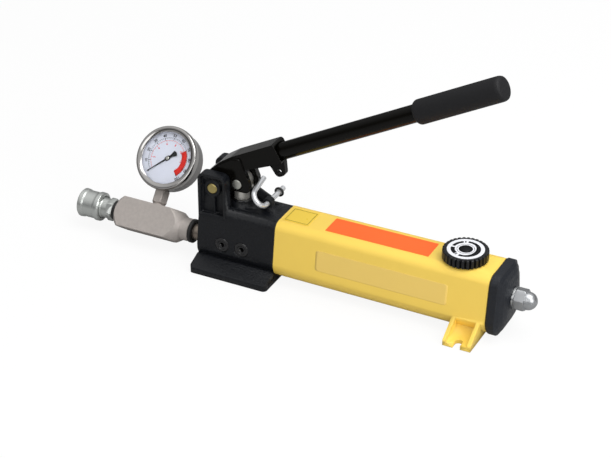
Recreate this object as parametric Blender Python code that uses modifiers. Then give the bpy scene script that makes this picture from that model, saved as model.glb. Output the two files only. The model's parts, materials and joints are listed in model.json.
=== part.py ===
"""Hydraulic hand pump with a pressure gauge and a quick coupler.

Frame: metres, +Z up. +X runs from the outlet end to the tank's end cap and
+Y points away from the side with the two valve plugs. The origin is the
centre of the front foot's underside.
"""

import math

import bmesh
import bpy
from mathutils import Matrix, Vector

# Sizes.
# Gap left between two pieces that touch or slide on each other.
fit = 0.0003

# Front foot, moulded in one with the pump body.
foot_length = 0.0835
foot_width = 0.0895
foot_edge_height = 0.006
foot_root_height = 0.0125
foot_edge_radius = 0.002

# Rounded trapezoid that the body, the tank and the end cap share.
tank_low_width = 0.0618
tank_high_width = 0.0440
tank_bottom = 0.0052
tank_top = 0.0648
tank_low_radius = 0.016
tank_high_radius = 0.009

# Pump body.
body_length = 0.08175
body_edge_radius = 0.0028
body_inset = 0.0005
spigot_length = 0.006

# Tank: an open tube, a little larger at the rear.
tank_length = 0.2190
tank_wall = 0.0028
tank_growth = 0.034
tank_seal_thickness = 0.0010

# End cap, tie rod, washer and nut.
cap_thickness = 0.0075
cap_lip = 0.0010
cap_edge_radius = 0.0008
cap_dome = 0.0075
cap_dome_steps = ((0.90, 0.34), (0.74, 0.66), (0.56, 0.87), (0.40, 1.0))
rod_height = 0.0376
rod_radius = 0.0040
rod_thread_depth = 0.017
washer_radius = 0.0108
washer_thickness = 0.0020
nut_flats = 0.0190
nut_length = 0.0100
nut_dome_radius = 0.0087
nut_dome_rise = 0.0023
nut_turn = math.radians(-17.0)

# Rear foot under the tank.
rear_foot_length = 0.0278
rear_foot_width = 0.1000
rear_foot_plate = 0.0042
rear_foot_rib = 0.0036
rear_foot_end_height = 0.0058
rear_foot_root = 0.0285
rear_foot_rib_top = 0.0200
rear_foot_from_end = 0.0325
slot_width = 0.0075
slot_depth = 0.0095

# Filler cap on its neck.
vent_from_end = 0.0332
vent_radius = 0.0218
vent_height = 0.0094
vent_teeth = 30
vent_tooth_depth = 0.0012
vent_rim = 0.0008
vent_disc_radius = 0.0176
vent_disc_thickness = 0.0008
neck_radius = 0.0150
neck_bore = 0.0120
neck_height = 0.0045

# Clevis ears on the body.
ear_gap = 0.0252
ear_thickness = 0.0107
ear_length = 0.0300
ear_over_pivot = 0.0159
ear_corner_radius = 0.0065
ear_rim = 0.0026
pocket_bottom = 0.0570
boss_radius = 0.0094
boss_recess = 0.0028
front_pocket_depth = 0.0040
rear_pocket_depth = 0.0058
rib_width = 0.0020
gusset_thickness = 0.0030
gusset_below_top = 0.0155
gusset_slope = 0.49
gusset_end_height = 0.0055

# Lever pivot and piston.
pivot_back = 0.01435
pivot_rise = 0.0201
pivot_pin_radius = 0.0054
pivot_pin_proud = 0.0005
lever_arm = 0.0229
arm_angle = 14.4
lever_raise = 12.0
lever_lower = 18.0
piston_radius = 0.0076
piston_length = 0.0425
piston_head_drop = 0.0096
piston_head_radius = 0.0094
piston_head_thickness = 0.0116
piston_pin_radius = 0.0053
slot_rise = 0.0005

# Gland, seal and wiper round the piston.
boss_height = 0.0064
gland_boss_radius = 0.0120
gland_collar = 0.0007
gland_radius = 0.0096
gland_thread_radius = 0.0102
gland_depth = 0.0170
seal_height = 0.0032
seal_gap = 0.00015
wiper_height = 0.0020
wiper_width = 0.0010

# Lever casting.
lever_width = 0.0206
cheek_width = 0.0242
cheek_tail = 0.0136
cheek_under = 0.0022
head_slot_width = 0.0124
nose_radius = 0.0125
bar_low = -0.0090
bar_high = 0.0112
under_reach = 0.0425
crown_reach = 0.0290
crown_forward = 0.0026
crown_height = 0.0244
lug_thickness = 0.0060
lug_reach = 0.0681
lug_drop = 0.0182
lug_hole_radius = 0.00295
lug_radius = 0.0049

# Handle tube and grip.
handle_angle = 28.1
handle_offset = 0.0108
socket_reach = 0.0805
socket_depth = 0.0270
tube_radius = 0.0085
tube_wall = 0.0018
grip_start = 0.2353
grip_length = 0.0926
grip_radius = 0.0118
grip_end_wall = 0.0035

# Bent wire that locks the lever.
wire_radius = 0.0026
wire_behind = 0.0141
wire_over_deck = 0.0082
wire_bend_y = -0.0063
wire_tip_y = 0.0305
wire_return = 0.0183
wire_start_angle = 3.2
wire_end_angle = 8.5
wire_clear = 0.0006
wire_lug_half = 0.0032
wire_lug_wall = 0.0020
wire_ring_y = 0.0215
wire_ring_thickness = 0.0023

# Valve plugs on the near side, each over a spring and a ball.
plug_height = 0.0280
plug_first_x = -0.0148
plug_pitch = 0.0214
plug_radius = 0.0066
plug_length = 0.0085
plug_recess = 0.0014
plug_ring = 0.0012
plug_socket_flats = 0.0060
plug_socket_depth = 0.0046
valve_bore_radius = 0.0032
valve_spring_length = 0.0052
valve_ball_radius = 0.0024
valve_seat_radius = 0.0015

# Release valve on the far side.
release_x = -0.0245
release_height = 0.0340
release_stem_radius = 0.0036
release_stem_depth = 0.0190
release_knob_radius = 0.0110
release_knob_length = 0.0130
release_knob_gap = 0.0016
release_lobes = 12

# Suction tube and strainer in the tank.
suction_height = 0.0140
suction_y = 0.0
suction_radius = 0.0030
suction_wall = 0.0009
suction_length = 0.0420
strainer_radius = 0.0058
strainer_length = 0.0160

# Outlet line: nipple, sealing ring, adapter block and coupler.
outlet_height = 0.0217
outlet_y = -0.0065
nipple_radius = 0.0080
nipple_bore = 0.0030
nipple_free = 0.0175
nipple_depth = 0.0190
passage_radius = 0.0018
ring_thickness = 0.0040
ring_radius = 0.0119
block_side = 0.0300
block_length = 0.0730
block_chamfer_radius = 0.0150
neck_length = 0.0085
block_neck_radius = 0.0118
block_roll = 39.7
thread_depth = 0.0130
coupler_gap = 0.0065
coupler_ring_radius = 0.0098
coupler_hex_flats = 0.0200
coupler_hex_length = 0.0060
coupler_tail_radius = 0.0100
coupler_body_radius = 0.0112
coupler_bore = 0.0080
sleeve_radius = 0.0146
sleeve_length = 0.0245
sleeve_groove = 0.0008
sleeve_travel = 0.0040
sleeve_stop = 0.0030
coupler_tail_length = sleeve_travel + sleeve_stop
poppet_radius = 0.0074
poppet_travel = 0.0035

# Pressure gauge.
gauge_from_end = 0.0379
gauge_rise = 0.0621
gauge_back = 0.0109
gauge_face = 0.0163
case_radius = 0.0307
case_wall = 0.0014
bezel_overhang = 0.0019
bezel_lip = 0.0062
bezel_length = 0.0085
glass_setback = 0.0020
glass_thickness = 0.0012
dial_gap = 0.0022
dial_thickness = 0.0008
pointer_length = 0.0243
pointer_tail = 0.0100
pointer_thickness = 0.0006
stem_hex_flats = 0.0140
stem_thread_radius = 0.0062
stem_thread_depth = 0.0110
stem_inner = 0.0125
shaft_radius = 0.0013
bourdon_gap = 0.0107
bourdon_beside = 0.00568
bourdon_sweep = 240.0
bourdon_tube_radius = 0.0018

# Stickers on the tank's top.
sticker = 0.00025
sticker_width = 0.0250
front_sticker_start = 0.0030
front_sticker_length = 0.0270
top_sticker_start = 0.0480
top_sticker_clear = 0.0100

# Derived places.
body_front = -foot_length / 2
body_rear = body_front + body_length
tank_front = body_rear + tank_seal_thickness + 2 * fit
tank_rear = tank_front + tank_length
cap_front = tank_rear + tank_seal_thickness + 2 * fit
cap_rear = cap_front + cap_thickness
deck = tank_top - body_inset

ear_inner = ear_gap / 2
ear_outer = ear_inner + ear_thickness
pivot_x = body_front + pivot_back
pivot_height = deck + pivot_rise
ear_top = pivot_height + ear_over_pivot
gusset_start = ear_top - gusset_below_top
pin_rest = math.radians(arm_angle)
pin_high = pin_rest + math.radians(lever_raise)
pin_low = pin_rest - math.radians(lever_lower)
pin_x = pivot_x + lever_arm * math.cos(pin_rest)
pin_z = pivot_height + lever_arm * math.sin(pin_rest)
reach_near = lever_arm * math.cos(pin_high)
reach_far = lever_arm * math.cos(max(0.0, pin_low))
piston_x = pivot_x + (reach_near + reach_far) / 2
slot_slide = (reach_far - reach_near) / 2 + fit
piston_drop = lever_arm * (math.sin(pin_rest) - math.sin(pin_low))
head_low = pin_z - piston_head_drop
piston_foot = head_low - piston_length
gland_bore = piston_radius + fit
boss_top = deck + boss_height
gland_top = boss_top + gland_collar
gland_bottom = boss_top - gland_depth

arm_x = lever_arm * math.cos(pin_rest)
arm_z = lever_arm * math.sin(pin_rest)
cheek_rear = arm_x + cheek_tail
cheek_low = arm_z - piston_pin_radius - cheek_under
cheek_shoulder = arm_z + 0.0020
cheek_reach = math.hypot(cheek_rear, cheek_shoulder)
wire_x = pivot_x + cheek_reach + wire_behind
wire_z = deck + wire_over_deck

handle_dir = Vector((math.cos(math.radians(handle_angle)), 0.0,
                     math.sin(math.radians(handle_angle))))
handle_up = Vector((-handle_dir.z, 0.0, handle_dir.x))

block_rear = body_front - nipple_free
neck_start = block_rear - neck_length
block_front = neck_start - block_length
roll = math.radians(90.0 - block_roll)
dial_normal = Vector((0.0, -math.sin(roll), math.cos(roll)))
stem_dir = Vector((0.0, math.cos(roll), math.sin(roll)))
gauge_x = block_front + gauge_from_end
bezel_radius = case_radius + bezel_overhang
bourdon_radius = case_radius - bourdon_gap
bourdon_start = -math.degrees(math.acos(bourdon_beside / bourdon_radius))
gauge_centre = (Vector((gauge_x, outlet_y, outlet_height))
                + stem_dir * gauge_rise)

X_AXIS = (0.0, math.pi / 2, 0.0)
Y_AXIS = (-math.pi / 2, 0.0, 0.0)
MINUS_Y_AXIS = (math.pi / 2, 0.0, 0.0)
SIDE_PLANE = (math.pi / 2, 0.0, 0.0)
CROSS_PLANE = (math.pi / 2, 0.0, math.pi / 2)


# The scene.
for old in list(bpy.data.objects):
    bpy.data.objects.remove(old, do_unlink=True)

parts = bpy.data.collections.new("hydraulic_hand_pump")
cutters = bpy.data.collections.new("hydraulic_hand_pump_cutters")
bpy.context.scene.collection.children.link(parts)
bpy.context.scene.collection.children.link(cutters)


def paint(name, colour, roughness, metallic):
    """One Principled material."""
    material = bpy.data.materials.new(name)
    material.use_nodes = True
    shader = material.node_tree.nodes["Principled BSDF"]
    shader.inputs["Base Color"].default_value = (*colour, 1.0)
    shader.inputs["Roughness"].default_value = roughness
    shader.inputs["Metallic"].default_value = metallic
    material.diffuse_color = (*colour, 1.0)
    return material


black_nylon = paint("black_nylon", (0.016, 0.017, 0.019), 0.55, 0.0)
yellow_paint = paint("yellow_paint", (0.80, 0.56, 0.09), 0.38, 0.0)
gloss_black = paint("gloss_black", (0.012, 0.010, 0.009), 0.22, 0.0)
grip_rubber = paint("grip_rubber", (0.018, 0.018, 0.019), 0.75, 0.0)
cap_black = paint("cap_black", (0.030, 0.032, 0.036), 0.50, 0.0)
seal_rubber = paint("seal_rubber", (0.010, 0.010, 0.010), 0.70, 0.0)
bright_zinc = paint("bright_zinc", (0.62, 0.62, 0.61), 0.28, 1.0)
yellow_zinc = paint("yellow_zinc", (0.55, 0.42, 0.15), 0.35, 1.0)
ground_steel = paint("ground_steel", (0.55, 0.55, 0.54), 0.20, 1.0)
grey_steel = paint("grey_steel", (0.40, 0.37, 0.35), 0.50, 1.0)
polished_steel = paint("polished_steel", (0.70, 0.69, 0.67), 0.12, 1.0)
dial_white = paint("dial_white", (0.62, 0.67, 0.78), 0.45, 0.0)
pointer_black = paint("pointer_black", (0.01, 0.01, 0.01), 0.40, 0.0)
clear_glass = paint("clear_glass", (0.85, 0.90, 0.92), 0.04, 0.0)
brass = paint("brass", (0.60, 0.42, 0.16), 0.30, 1.0)
disc_silver = paint("disc_silver", (0.75, 0.75, 0.76), 0.30, 0.0)
label_orange = paint("label_orange", (0.90, 0.16, 0.03), 0.45, 0.0)
label_yellow = paint("label_yellow", (0.85, 0.60, 0.06), 0.45, 0.0)


# Helpers.
def fillet(corners, steps=5):
    """Round the corners (x, y, radius) of an outline into points."""
    outline = []
    count = len(corners)
    for i in range(count):
        x, y, radius = corners[i]
        here = Vector((x, y))
        to_last = (Vector(corners[i - 1][:2]) - here)
        to_next = (Vector(corners[(i + 1) % count][:2]) - here)
        if radius <= 0.0:
            outline.append((x, y))
            continue
        a = to_last.normalized()
        b = to_next.normalized()
        half = math.acos(max(-1.0, min(1.0, a.dot(b)))) / 2
        run = radius / math.tan(half)
        longest = 0.49 * min(to_last.length, to_next.length)
        if run > longest:
            run = longest
            radius = run * math.tan(half)
        centre = here + (a + b).normalized() * (radius / math.sin(half))
        start = here + a * run - centre
        finish = here + b * run - centre
        turn = math.atan2(start.x * finish.y - start.y * finish.x,
                          start.dot(finish))
        for k in range(steps + 1):
            angle = turn * k / steps
            spot = Matrix.Rotation(angle, 2) @ start + centre
            outline.append((spot.x, spot.y))
    return outline


def circle(radius, count, x=0.0, y=0.0):
    """Points of a circle."""
    return [(x + radius * math.cos(2 * math.pi * i / count),
             y + radius * math.sin(2 * math.pi * i / count))
            for i in range(count)]


def hexagon(flats, turn=0.0):
    """Points of a hexagon, given the distance across its flats."""
    radius = flats / math.sqrt(3.0)
    return [(radius * math.cos(turn + k * math.pi / 3.0),
             radius * math.sin(turn + k * math.pi / 3.0)) for k in range(6)]


def toothed(radius, depth, teeth):
    """Outline of a knob with flat-topped teeth."""
    points = []
    for i in range(teeth):
        for share, r in ((0.0, radius - depth), (0.24, radius),
                         (0.76, radius)):
            angle = 2 * math.pi * (i + share + 0.31) / teeth
            points.append((r * math.cos(angle), r * math.sin(angle)))
    return points


def link(obj, material=None, cutter=False):
    """Put an object in its collection and give it its material."""
    for collection in list(obj.users_collection):
        collection.objects.unlink(obj)
    if cutter:
        cutters.objects.link(obj)
        obj.hide_render = True
        obj.display_type = 'WIRE'
    else:
        parts.objects.link(obj)
    if material:
        obj.data.materials.clear()
        obj.data.materials.append(material)
    return obj


def curve_to_mesh(obj):
    """Replace a curve by a welded mesh with the same place."""
    bpy.context.view_layer.update()
    graph = bpy.context.evaluated_depsgraph_get()
    mesh = bpy.data.meshes.new_from_object(obj.evaluated_get(graph))
    solid = bmesh.new()
    solid.from_mesh(mesh)
    bmesh.ops.remove_doubles(solid, verts=solid.verts, dist=1e-6)
    bmesh.ops.recalc_face_normals(solid, faces=solid.faces)
    solid.to_mesh(mesh)
    solid.free()
    name = obj.name
    place = obj.matrix_world.copy()
    bpy.data.objects.remove(obj, do_unlink=True)
    new = bpy.data.objects.new(name, mesh)
    new.matrix_world = place
    return new


def plate(name, outline, low, high, location, rotation, material=None,
          cutter=False, rim=0.0):
    """Flat outline raised from low to high along its own Z."""
    curve = bpy.data.curves.new(name, 'CURVE')
    curve.dimensions = '2D'
    curve.fill_mode = 'BOTH'
    curve.extrude = (high - low) / 2 - rim
    curve.bevel_depth = rim
    curve.bevel_resolution = 0
    curve.offset = -rim
    spline = curve.splines.new('POLY')
    spline.points.add(len(outline) - 1)
    for point, (x, y) in zip(spline.points, outline):
        point.co = (x, y, 0.0, 1.0)
    spline.use_cyclic_u = True
    obj = bpy.data.objects.new(name, curve)
    obj.location = location
    obj.rotation_euler = rotation
    bpy.context.scene.collection.objects.link(obj)
    solid = curve_to_mesh(obj)
    solid.data.transform(Matrix.Translation((0, 0, (high + low) / 2)))
    return link(solid, material, cutter)


def turned(name, profile, location, rotation, material=None, steps=32,
           cutter=False, ring=False):
    """Profile of (radius, height) from top to bottom, turned about Z."""
    points = [(r, 0.0, h) for r, h in profile]
    edges = [(i, i + 1) for i in range(len(points) - 1)]
    if ring:
        edges.append((len(points) - 1, 0))
    mesh = bpy.data.meshes.new(name)
    mesh.from_pydata(points, edges, [])
    obj = bpy.data.objects.new(name, mesh)
    screw = obj.modifiers.new("turn", 'SCREW')
    screw.axis = 'Z'
    screw.angle = 2 * math.pi
    screw.steps = steps
    screw.render_steps = steps
    screw.use_merge_vertices = True
    screw.merge_threshold = 0.00001
    screw.use_normal_calculate = False
    obj.location = location
    obj.rotation_euler = rotation
    return link(obj, material, cutter)


def rod(name, radius, low, high, location, rotation, material=None,
        steps=24, cutter=False, chamfer=0.0):
    """Solid cylinder from low to high along its own Z."""
    mesh = bpy.data.meshes.new(name)
    solid = bmesh.new()
    bmesh.ops.create_cone(solid, cap_ends=True, segments=steps,
                          radius1=radius, radius2=radius, depth=high - low)
    bmesh.ops.translate(solid, vec=(0, 0, (high + low) / 2),
                        verts=solid.verts)
    solid.to_mesh(mesh)
    solid.free()
    obj = bpy.data.objects.new(name, mesh)
    obj.location = location
    obj.rotation_euler = rotation
    if chamfer > 0.0:
        soften(obj, chamfer, 1)
    return link(obj, material, cutter)


def block(name, size, location, rotation=(0, 0, 0), material=None,
          cutter=False):
    """Box with its centre at the location."""
    mesh = bpy.data.meshes.new(name)
    solid = bmesh.new()
    bmesh.ops.create_cube(solid, size=1.0)
    bmesh.ops.scale(solid, vec=size, verts=solid.verts)
    solid.to_mesh(mesh)
    solid.free()
    obj = bpy.data.objects.new(name, mesh)
    obj.location = location
    obj.rotation_euler = rotation
    return link(obj, material, cutter)


def combine(target, tool, operation='DIFFERENCE'):
    """Boolean a cutter into a part."""
    change = target.modifiers.new(tool.name, 'BOOLEAN')
    change.operation = operation
    change.solver = 'EXACT'
    change.object = tool
    return target


def join(target, tool):
    """Add a cutter's volume to a part."""
    return combine(target, tool, 'UNION')


def soften(obj, width, segments=2, angle=35.0):
    """Rounded edges."""
    bevel = obj.modifiers.new("soft_edges", 'BEVEL')
    bevel.width = width
    bevel.segments = segments
    bevel.limit_method = 'ANGLE'
    bevel.angle_limit = math.radians(angle)
    return obj


def tank_scale(x):
    """How much larger the tank's section is at x than at its front."""
    return 1.0 + tank_growth * (x - tank_front) / tank_length


def section(grow=0.0):
    """Corners of the shared section, moved out by grow."""
    low = tank_bottom - grow
    high = tank_top + grow
    slope = (tank_low_width - tank_high_width) / 2 / (tank_top - tank_bottom)
    out = grow * math.sqrt(1.0 + slope * slope)
    low_y = tank_low_width / 2 + slope * grow + out
    high_y = tank_high_width / 2 - slope * grow + out
    low_r = tank_low_radius + grow
    high_r = tank_high_radius + grow
    return [(-low_y, low, low_r), (low_y, low, low_r),
            (high_y, high, high_r), (-high_y, high, high_r)]


def section_plate(name, grow, x_low, x_high, scale_low, scale_high,
                  material=None, cutter=False, steps=5):
    """Slab of the shared section, tapered about the tie rod's axis."""
    outline = [(y, z - rod_height) for y, z in fillet(section(grow), steps)]
    middle = (x_low + x_high) / 2
    half = (x_high - x_low) / 2
    obj = plate(name, outline, -half, half, (middle, 0.0, rod_height),
                CROSS_PLANE, material, cutter)
    for vertex in obj.data.vertices:
        scale = scale_high if vertex.co.z > 0 else scale_low
        vertex.co.x *= scale
        vertex.co.y *= scale
    return obj


# Pump body.
half_foot = foot_width / 2
foot_root = tank_low_width / 2 - 0.0030
body = section_plate("pump_body", -body_inset, body_front,
                     body_rear + body_edge_radius, 1.0, 1.0, black_nylon)
soften(body, body_edge_radius)
foot_corners = [(-half_foot, 0.0, 0.0), (half_foot, 0.0, 0.0),
                (half_foot, foot_edge_height, foot_edge_radius),
                (foot_root, foot_root_height, 0.0),
                (-foot_root, foot_root_height, 0.0),
                (-half_foot, foot_edge_height, foot_edge_radius)]
foot = plate("foot_form", fillet(foot_corners, 3), -foot_length / 2,
             foot_length / 2, (0, 0, 0), CROSS_PLANE, cutter=True)
join(body, foot)

ear_front = body_front + 0.0002
ear_rear = body_front + ear_length
ear_corners = [(ear_front, deck - 0.018, 0.0), (ear_rear, deck - 0.018, 0.0),
               (ear_rear, ear_top, ear_corner_radius),
               (ear_front, ear_top, ear_corner_radius)]
for side in (-1, 1):
    middle = side * (ear_inner + ear_thickness / 2)
    ear = plate("ear_form_%d" % side, fillet(ear_corners, 4),
                -ear_thickness / 2, ear_thickness / 2,
                (0.0, middle, 0.0), SIDE_PLANE, cutter=True)
    join(body, ear)

# Web behind the far ear only: the photo shows none behind the near one.
gusset_end = ear_rear + (gusset_start - deck
                         - gusset_end_height) / gusset_slope
gusset = plate("gusset_form", [
    (ear_rear - 0.003, deck - 0.012),
    (gusset_end + 0.0036, deck - 0.012), (gusset_end + 0.0036, deck - 0.001),
    (gusset_end, deck + gusset_end_height),
    (ear_rear - 0.003, gusset_start + 0.003 * gusset_slope)],
    -gusset_thickness / 2, gusset_thickness / 2,
    (0.0, ear_inner + gusset_thickness / 2, 0.0), SIDE_PLANE, cutter=True)
join(body, gusset)

boss = rod("gland_boss_form", gland_boss_radius, deck - 0.010, boss_top,
           (piston_x, 0, 0), (0, 0, 0), cutter=True, steps=32)
join(body, boss)

wire_lug_radius = wire_radius + wire_lug_wall
wire_lug_corners = [(wire_x - 0.0085, deck - 0.003, 0.0),
                    (wire_x + 0.0085, deck - 0.003, 0.0),
                    (wire_x + wire_lug_radius, wire_z - 0.002, 0.002),
                    (wire_x + wire_lug_radius,
                     wire_z + wire_lug_radius, wire_lug_radius),
                    (wire_x - wire_lug_radius,
                     wire_z + wire_lug_radius, wire_lug_radius),
                    (wire_x - wire_lug_radius, wire_z - 0.002, 0.002)]
wire_lug = plate("wire_lug_form", fillet(wire_lug_corners, 4),
                 -wire_lug_half, wire_lug_half, (0, 0, 0), SIDE_PLANE,
                 cutter=True)
join(body, wire_lug)

relief = section_plate("tank_relief", 2 * fit, body_rear,
                       tank_front + body_edge_radius + 0.002, 1.0, 1.0,
                       cutter=True)
combine(body, relief)
spigot = section_plate("spigot_form", -tank_wall - fit, body_rear - 0.002,
                       tank_front + spigot_length, 1.0, 1.0, cutter=True)
join(body, spigot)

# Pockets in the outer faces of the ears, round a boss at the pin.


def ear_pocket(name, side, x_low, x_high, depth, steps=3):
    """Cutter for one pocket in an ear's outer face."""
    outline = fillet([(x_low, pocket_bottom, 0.001),
                      (x_high, pocket_bottom, 0.001),
                      (x_high, ear_top - ear_rim, 0.004),
                      (x_low, ear_top - ear_rim, 0.004)], steps)
    return plate(name, outline, -depth, depth,
                 (0.0, side * ear_outer, 0.0), SIDE_PLANE, cutter=True)


pocket_front = ear_front + ear_rim
pocket_rear = ear_rear - ear_rim
rib_x = pivot_x + 0.0020
for side in (-1, 1):
    shallow = ear_pocket("ear_recess_%d" % side, side, pocket_front,
                         pocket_rear, boss_recess)
    combine(body, shallow)
    keep = rod("pivot_boss_%d" % side, boss_radius, -0.02, 0.02,
               (pivot_x, side * ear_outer, pivot_height), Y_AXIS,
               cutter=True, steps=28)
    for end, low, high, depth in (
            ("front", pocket_front + 0.0004, rib_x - rib_width / 2,
             front_pocket_depth),
            ("rear", rib_x + rib_width / 2, pocket_rear - 0.0004,
             rear_pocket_depth)):
        pocket = ear_pocket("%s_pocket_%d" % (end, side), side, low, high,
                            depth, 1)
        combine(pocket, keep)
        combine(body, pocket)

pin_hole = rod("pivot_hole", pivot_pin_radius + fit, -ear_outer - 0.002,
               ear_outer + 0.002, (pivot_x, 0, pivot_height), Y_AXIS,
               cutter=True)
combine(body, pin_hole)
wire_hole = rod("wire_hole", wire_radius + fit, -wire_lug_half - 0.002,
                wire_lug_half + 0.002, (wire_x, 0, wire_z), Y_AXIS,
                cutter=True, steps=16)
combine(body, wire_hole)

# Piston bore with the gland's counterbore over it, and oil passages.
bore_bottom = piston_foot - piston_drop - 0.0008
gland_hole = gland_thread_radius + fit
seal_bottom = gland_bottom - seal_height - 2 * fit
piston_bore = turned("piston_bore", [
    (0.0, gland_top + 0.002), (gland_hole, gland_top + 0.002),
    (gland_hole, seal_bottom), (gland_bore, seal_bottom),
    (gland_bore, bore_bottom), (0.0, bore_bottom - 0.002)],
    (piston_x, 0, 0), (0, 0, 0), cutter=True, steps=28)
combine(body, piston_bore)
port_end = body_front + nipple_depth
port = turned("outlet_port", [
    (0.0, port_end + 0.003), (nipple_radius + fit, port_end),
    (nipple_radius + fit, body_front - 0.002), (0.0, body_front - 0.002)],
    (0, outlet_y, outlet_height), X_AXIS, cutter=True)
combine(body, port)
passage = rod("outlet_passage", passage_radius, port_end,
              piston_x + passage_radius, (0, outlet_y, outlet_height),
              X_AXIS, cutter=True, steps=12)
combine(body, passage)
down = rod("bore_passage", passage_radius * 0.8, outlet_height,
           bore_bottom + 0.003, (piston_x, 0, 0), (0, 0, 0), cutter=True,
           steps=10)
combine(body, down)
cross = rod("cross_passage", passage_radius * 0.9, outlet_y,
            passage_radius * 0.5, (piston_x, 0, outlet_height), Y_AXIS,
            cutter=True, steps=11)
combine(body, cross)
suction_port = rod("suction_port", suction_radius + fit,
                   tank_front + spigot_length - 0.012,
                   tank_front + spigot_length + 0.002,
                   (0, suction_y, suction_height), X_AXIS, cutter=True,
                   steps=16)
combine(body, suction_port)
rod_hole = rod("rod_hole", rod_radius + fit,
               tank_front + spigot_length - rod_thread_depth,
               tank_front + spigot_length + 0.002, (0, 0, rod_height),
               X_AXIS, cutter=True, steps=20)
combine(body, rod_hole)

# The near side leans in, so each plug hole starts from the side at its
# own height.
side_slope = (tank_low_width - tank_high_width) / 2 / (tank_top - tank_bottom)
side_at_plug = (tank_low_width / 2 - body_inset
                - side_slope * (plug_height - tank_bottom))
plug_face = side_at_plug - plug_recess
plug_inner = plug_face - plug_length
spring_end = plug_inner - valve_spring_length - 2 * fit
seat = spring_end - 2 * valve_ball_radius - fit
for i in range(2):
    x = plug_first_x + i * plug_pitch
    hole = turned("plug_hole_%d" % i, [
        (0.0, side_at_plug + 0.004),
        (plug_radius + plug_ring, side_at_plug + 0.004),
        (plug_radius + plug_ring, plug_face - 0.0006),
        (plug_radius + fit, plug_face - 0.0006),
        (plug_radius + fit, plug_inner - fit),
        (valve_bore_radius, plug_inner - fit),
        (valve_bore_radius, seat + valve_ball_radius * 0.6),
        (valve_seat_radius, seat),
        (valve_seat_radius, seat - 0.003), (0.0, seat - 0.003)],
        (x, 0, plug_height), MINUS_Y_AXIS, cutter=True, steps=16)
    combine(body, hole)

side_at_release = (tank_low_width / 2 - body_inset
                   - side_slope * (release_height - tank_bottom))
release_hole = rod("release_hole", release_stem_radius + fit,
                   side_at_release - release_stem_depth - fit,
                   side_at_release + 0.004, (release_x, 0, release_height),
                   Y_AXIS, cutter=True, steps=20)
combine(body, release_hole)


# Tank and seals.
def ring_plate(name, outer, inner, x_low, x_high, scale, material):
    """Flat seal with the tank's outline."""
    ring = section_plate(name, outer, x_low, x_high, scale, scale, material)
    hole = section_plate(name + "_hole", inner, x_low - 0.001,
                         x_high + 0.001, scale, scale, cutter=True)
    return combine(ring, hole)


rear_scale = tank_scale(tank_rear)
ring_plate("front_seal", -0.0004, -tank_wall, body_rear + fit,
           tank_front - fit, 1.0, seal_rubber)
tank = section_plate("tank", 0.0, tank_front, tank_rear, 1.0, rear_scale,
                     yellow_paint, steps=6)

vent_x = tank_rear - vent_from_end
vent_top_face = rod_height + (tank_top - rod_height) * tank_scale(vent_x)
neck_top = vent_top_face + neck_height
neck = rod("neck_form", neck_radius, vent_top_face - 0.003, neck_top,
           (vent_x, 0, 0), (0, 0, 0), cutter=True, steps=32)
join(tank, neck)

foot_front = tank_rear - rear_foot_from_end
foot_back = foot_front + rear_foot_length
foot_middle = (foot_front + foot_back) / 2
half_rear = rear_foot_width / 2
rib_corners = [(-half_rear, 0.0, 0.0), (half_rear, 0.0, 0.0),
               (half_rear, rear_foot_end_height, 0.002),
               (rear_foot_root, rear_foot_rib_top, 0.0),
               (-rear_foot_root, rear_foot_rib_top, 0.0),
               (-half_rear, rear_foot_end_height, 0.002)]
rear_foot = plate("rear_foot_form", fillet(rib_corners, 3), foot_front,
                  foot_back, (0, 0, 0), CROSS_PLANE, cutter=True)
beyond = half_rear + 0.01
for side in (-1, 1):
    pocket = plate("rear_foot_pocket_%d" % side, [
        (side * 0.0300, rear_foot_plate), (side * beyond, rear_foot_plate),
        (side * beyond, 0.030), (side * 0.0240, 0.030),
        (side * 0.0240, 0.0120)],
        foot_front + rear_foot_rib, foot_back - rear_foot_rib, (0, 0, 0),
        CROSS_PLANE, cutter=True)
    combine(rear_foot, pocket)
join(tank, rear_foot)
tank_space = section_plate("tank_space", -tank_wall, tank_front - 0.001,
                           tank_rear + 0.001, 1.0, rear_scale, cutter=True,
                           steps=6)
combine(tank, tank_space)
neck_hole = rod("neck_hole", neck_bore, rod_height, neck_top + 0.002,
                (vent_x, 0, 0), (0, 0, 0), cutter=True, steps=26)
combine(tank, neck_hole)
for side in (-1, 1):
    slot_end = half_rear - slot_depth
    r = slot_width / 2
    slot = plate("foot_slot_%d" % side, fillet([
        (foot_middle - r, side * slot_end, r),
        (foot_middle + r, side * slot_end, r),
        (foot_middle + r, side * (half_rear + 0.005), 0.0),
        (foot_middle - r, side * (half_rear + 0.005), 0.0)], 4),
        -0.002, rear_foot_plate + 0.0006, (0, 0, 0), (0, 0, 0), cutter=True)
    combine(tank, slot)

ring_plate("rear_seal", -0.0004, -tank_wall, tank_rear + fit,
           cap_front - fit, rear_scale, seal_rubber)

# End cap and tie rod.
end_cap = section_plate("end_cap", cap_lip, cap_front, cap_rear, rear_scale,
                        rear_scale, cap_black, steps=6)
soften(end_cap, cap_edge_radius, 1)
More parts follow.
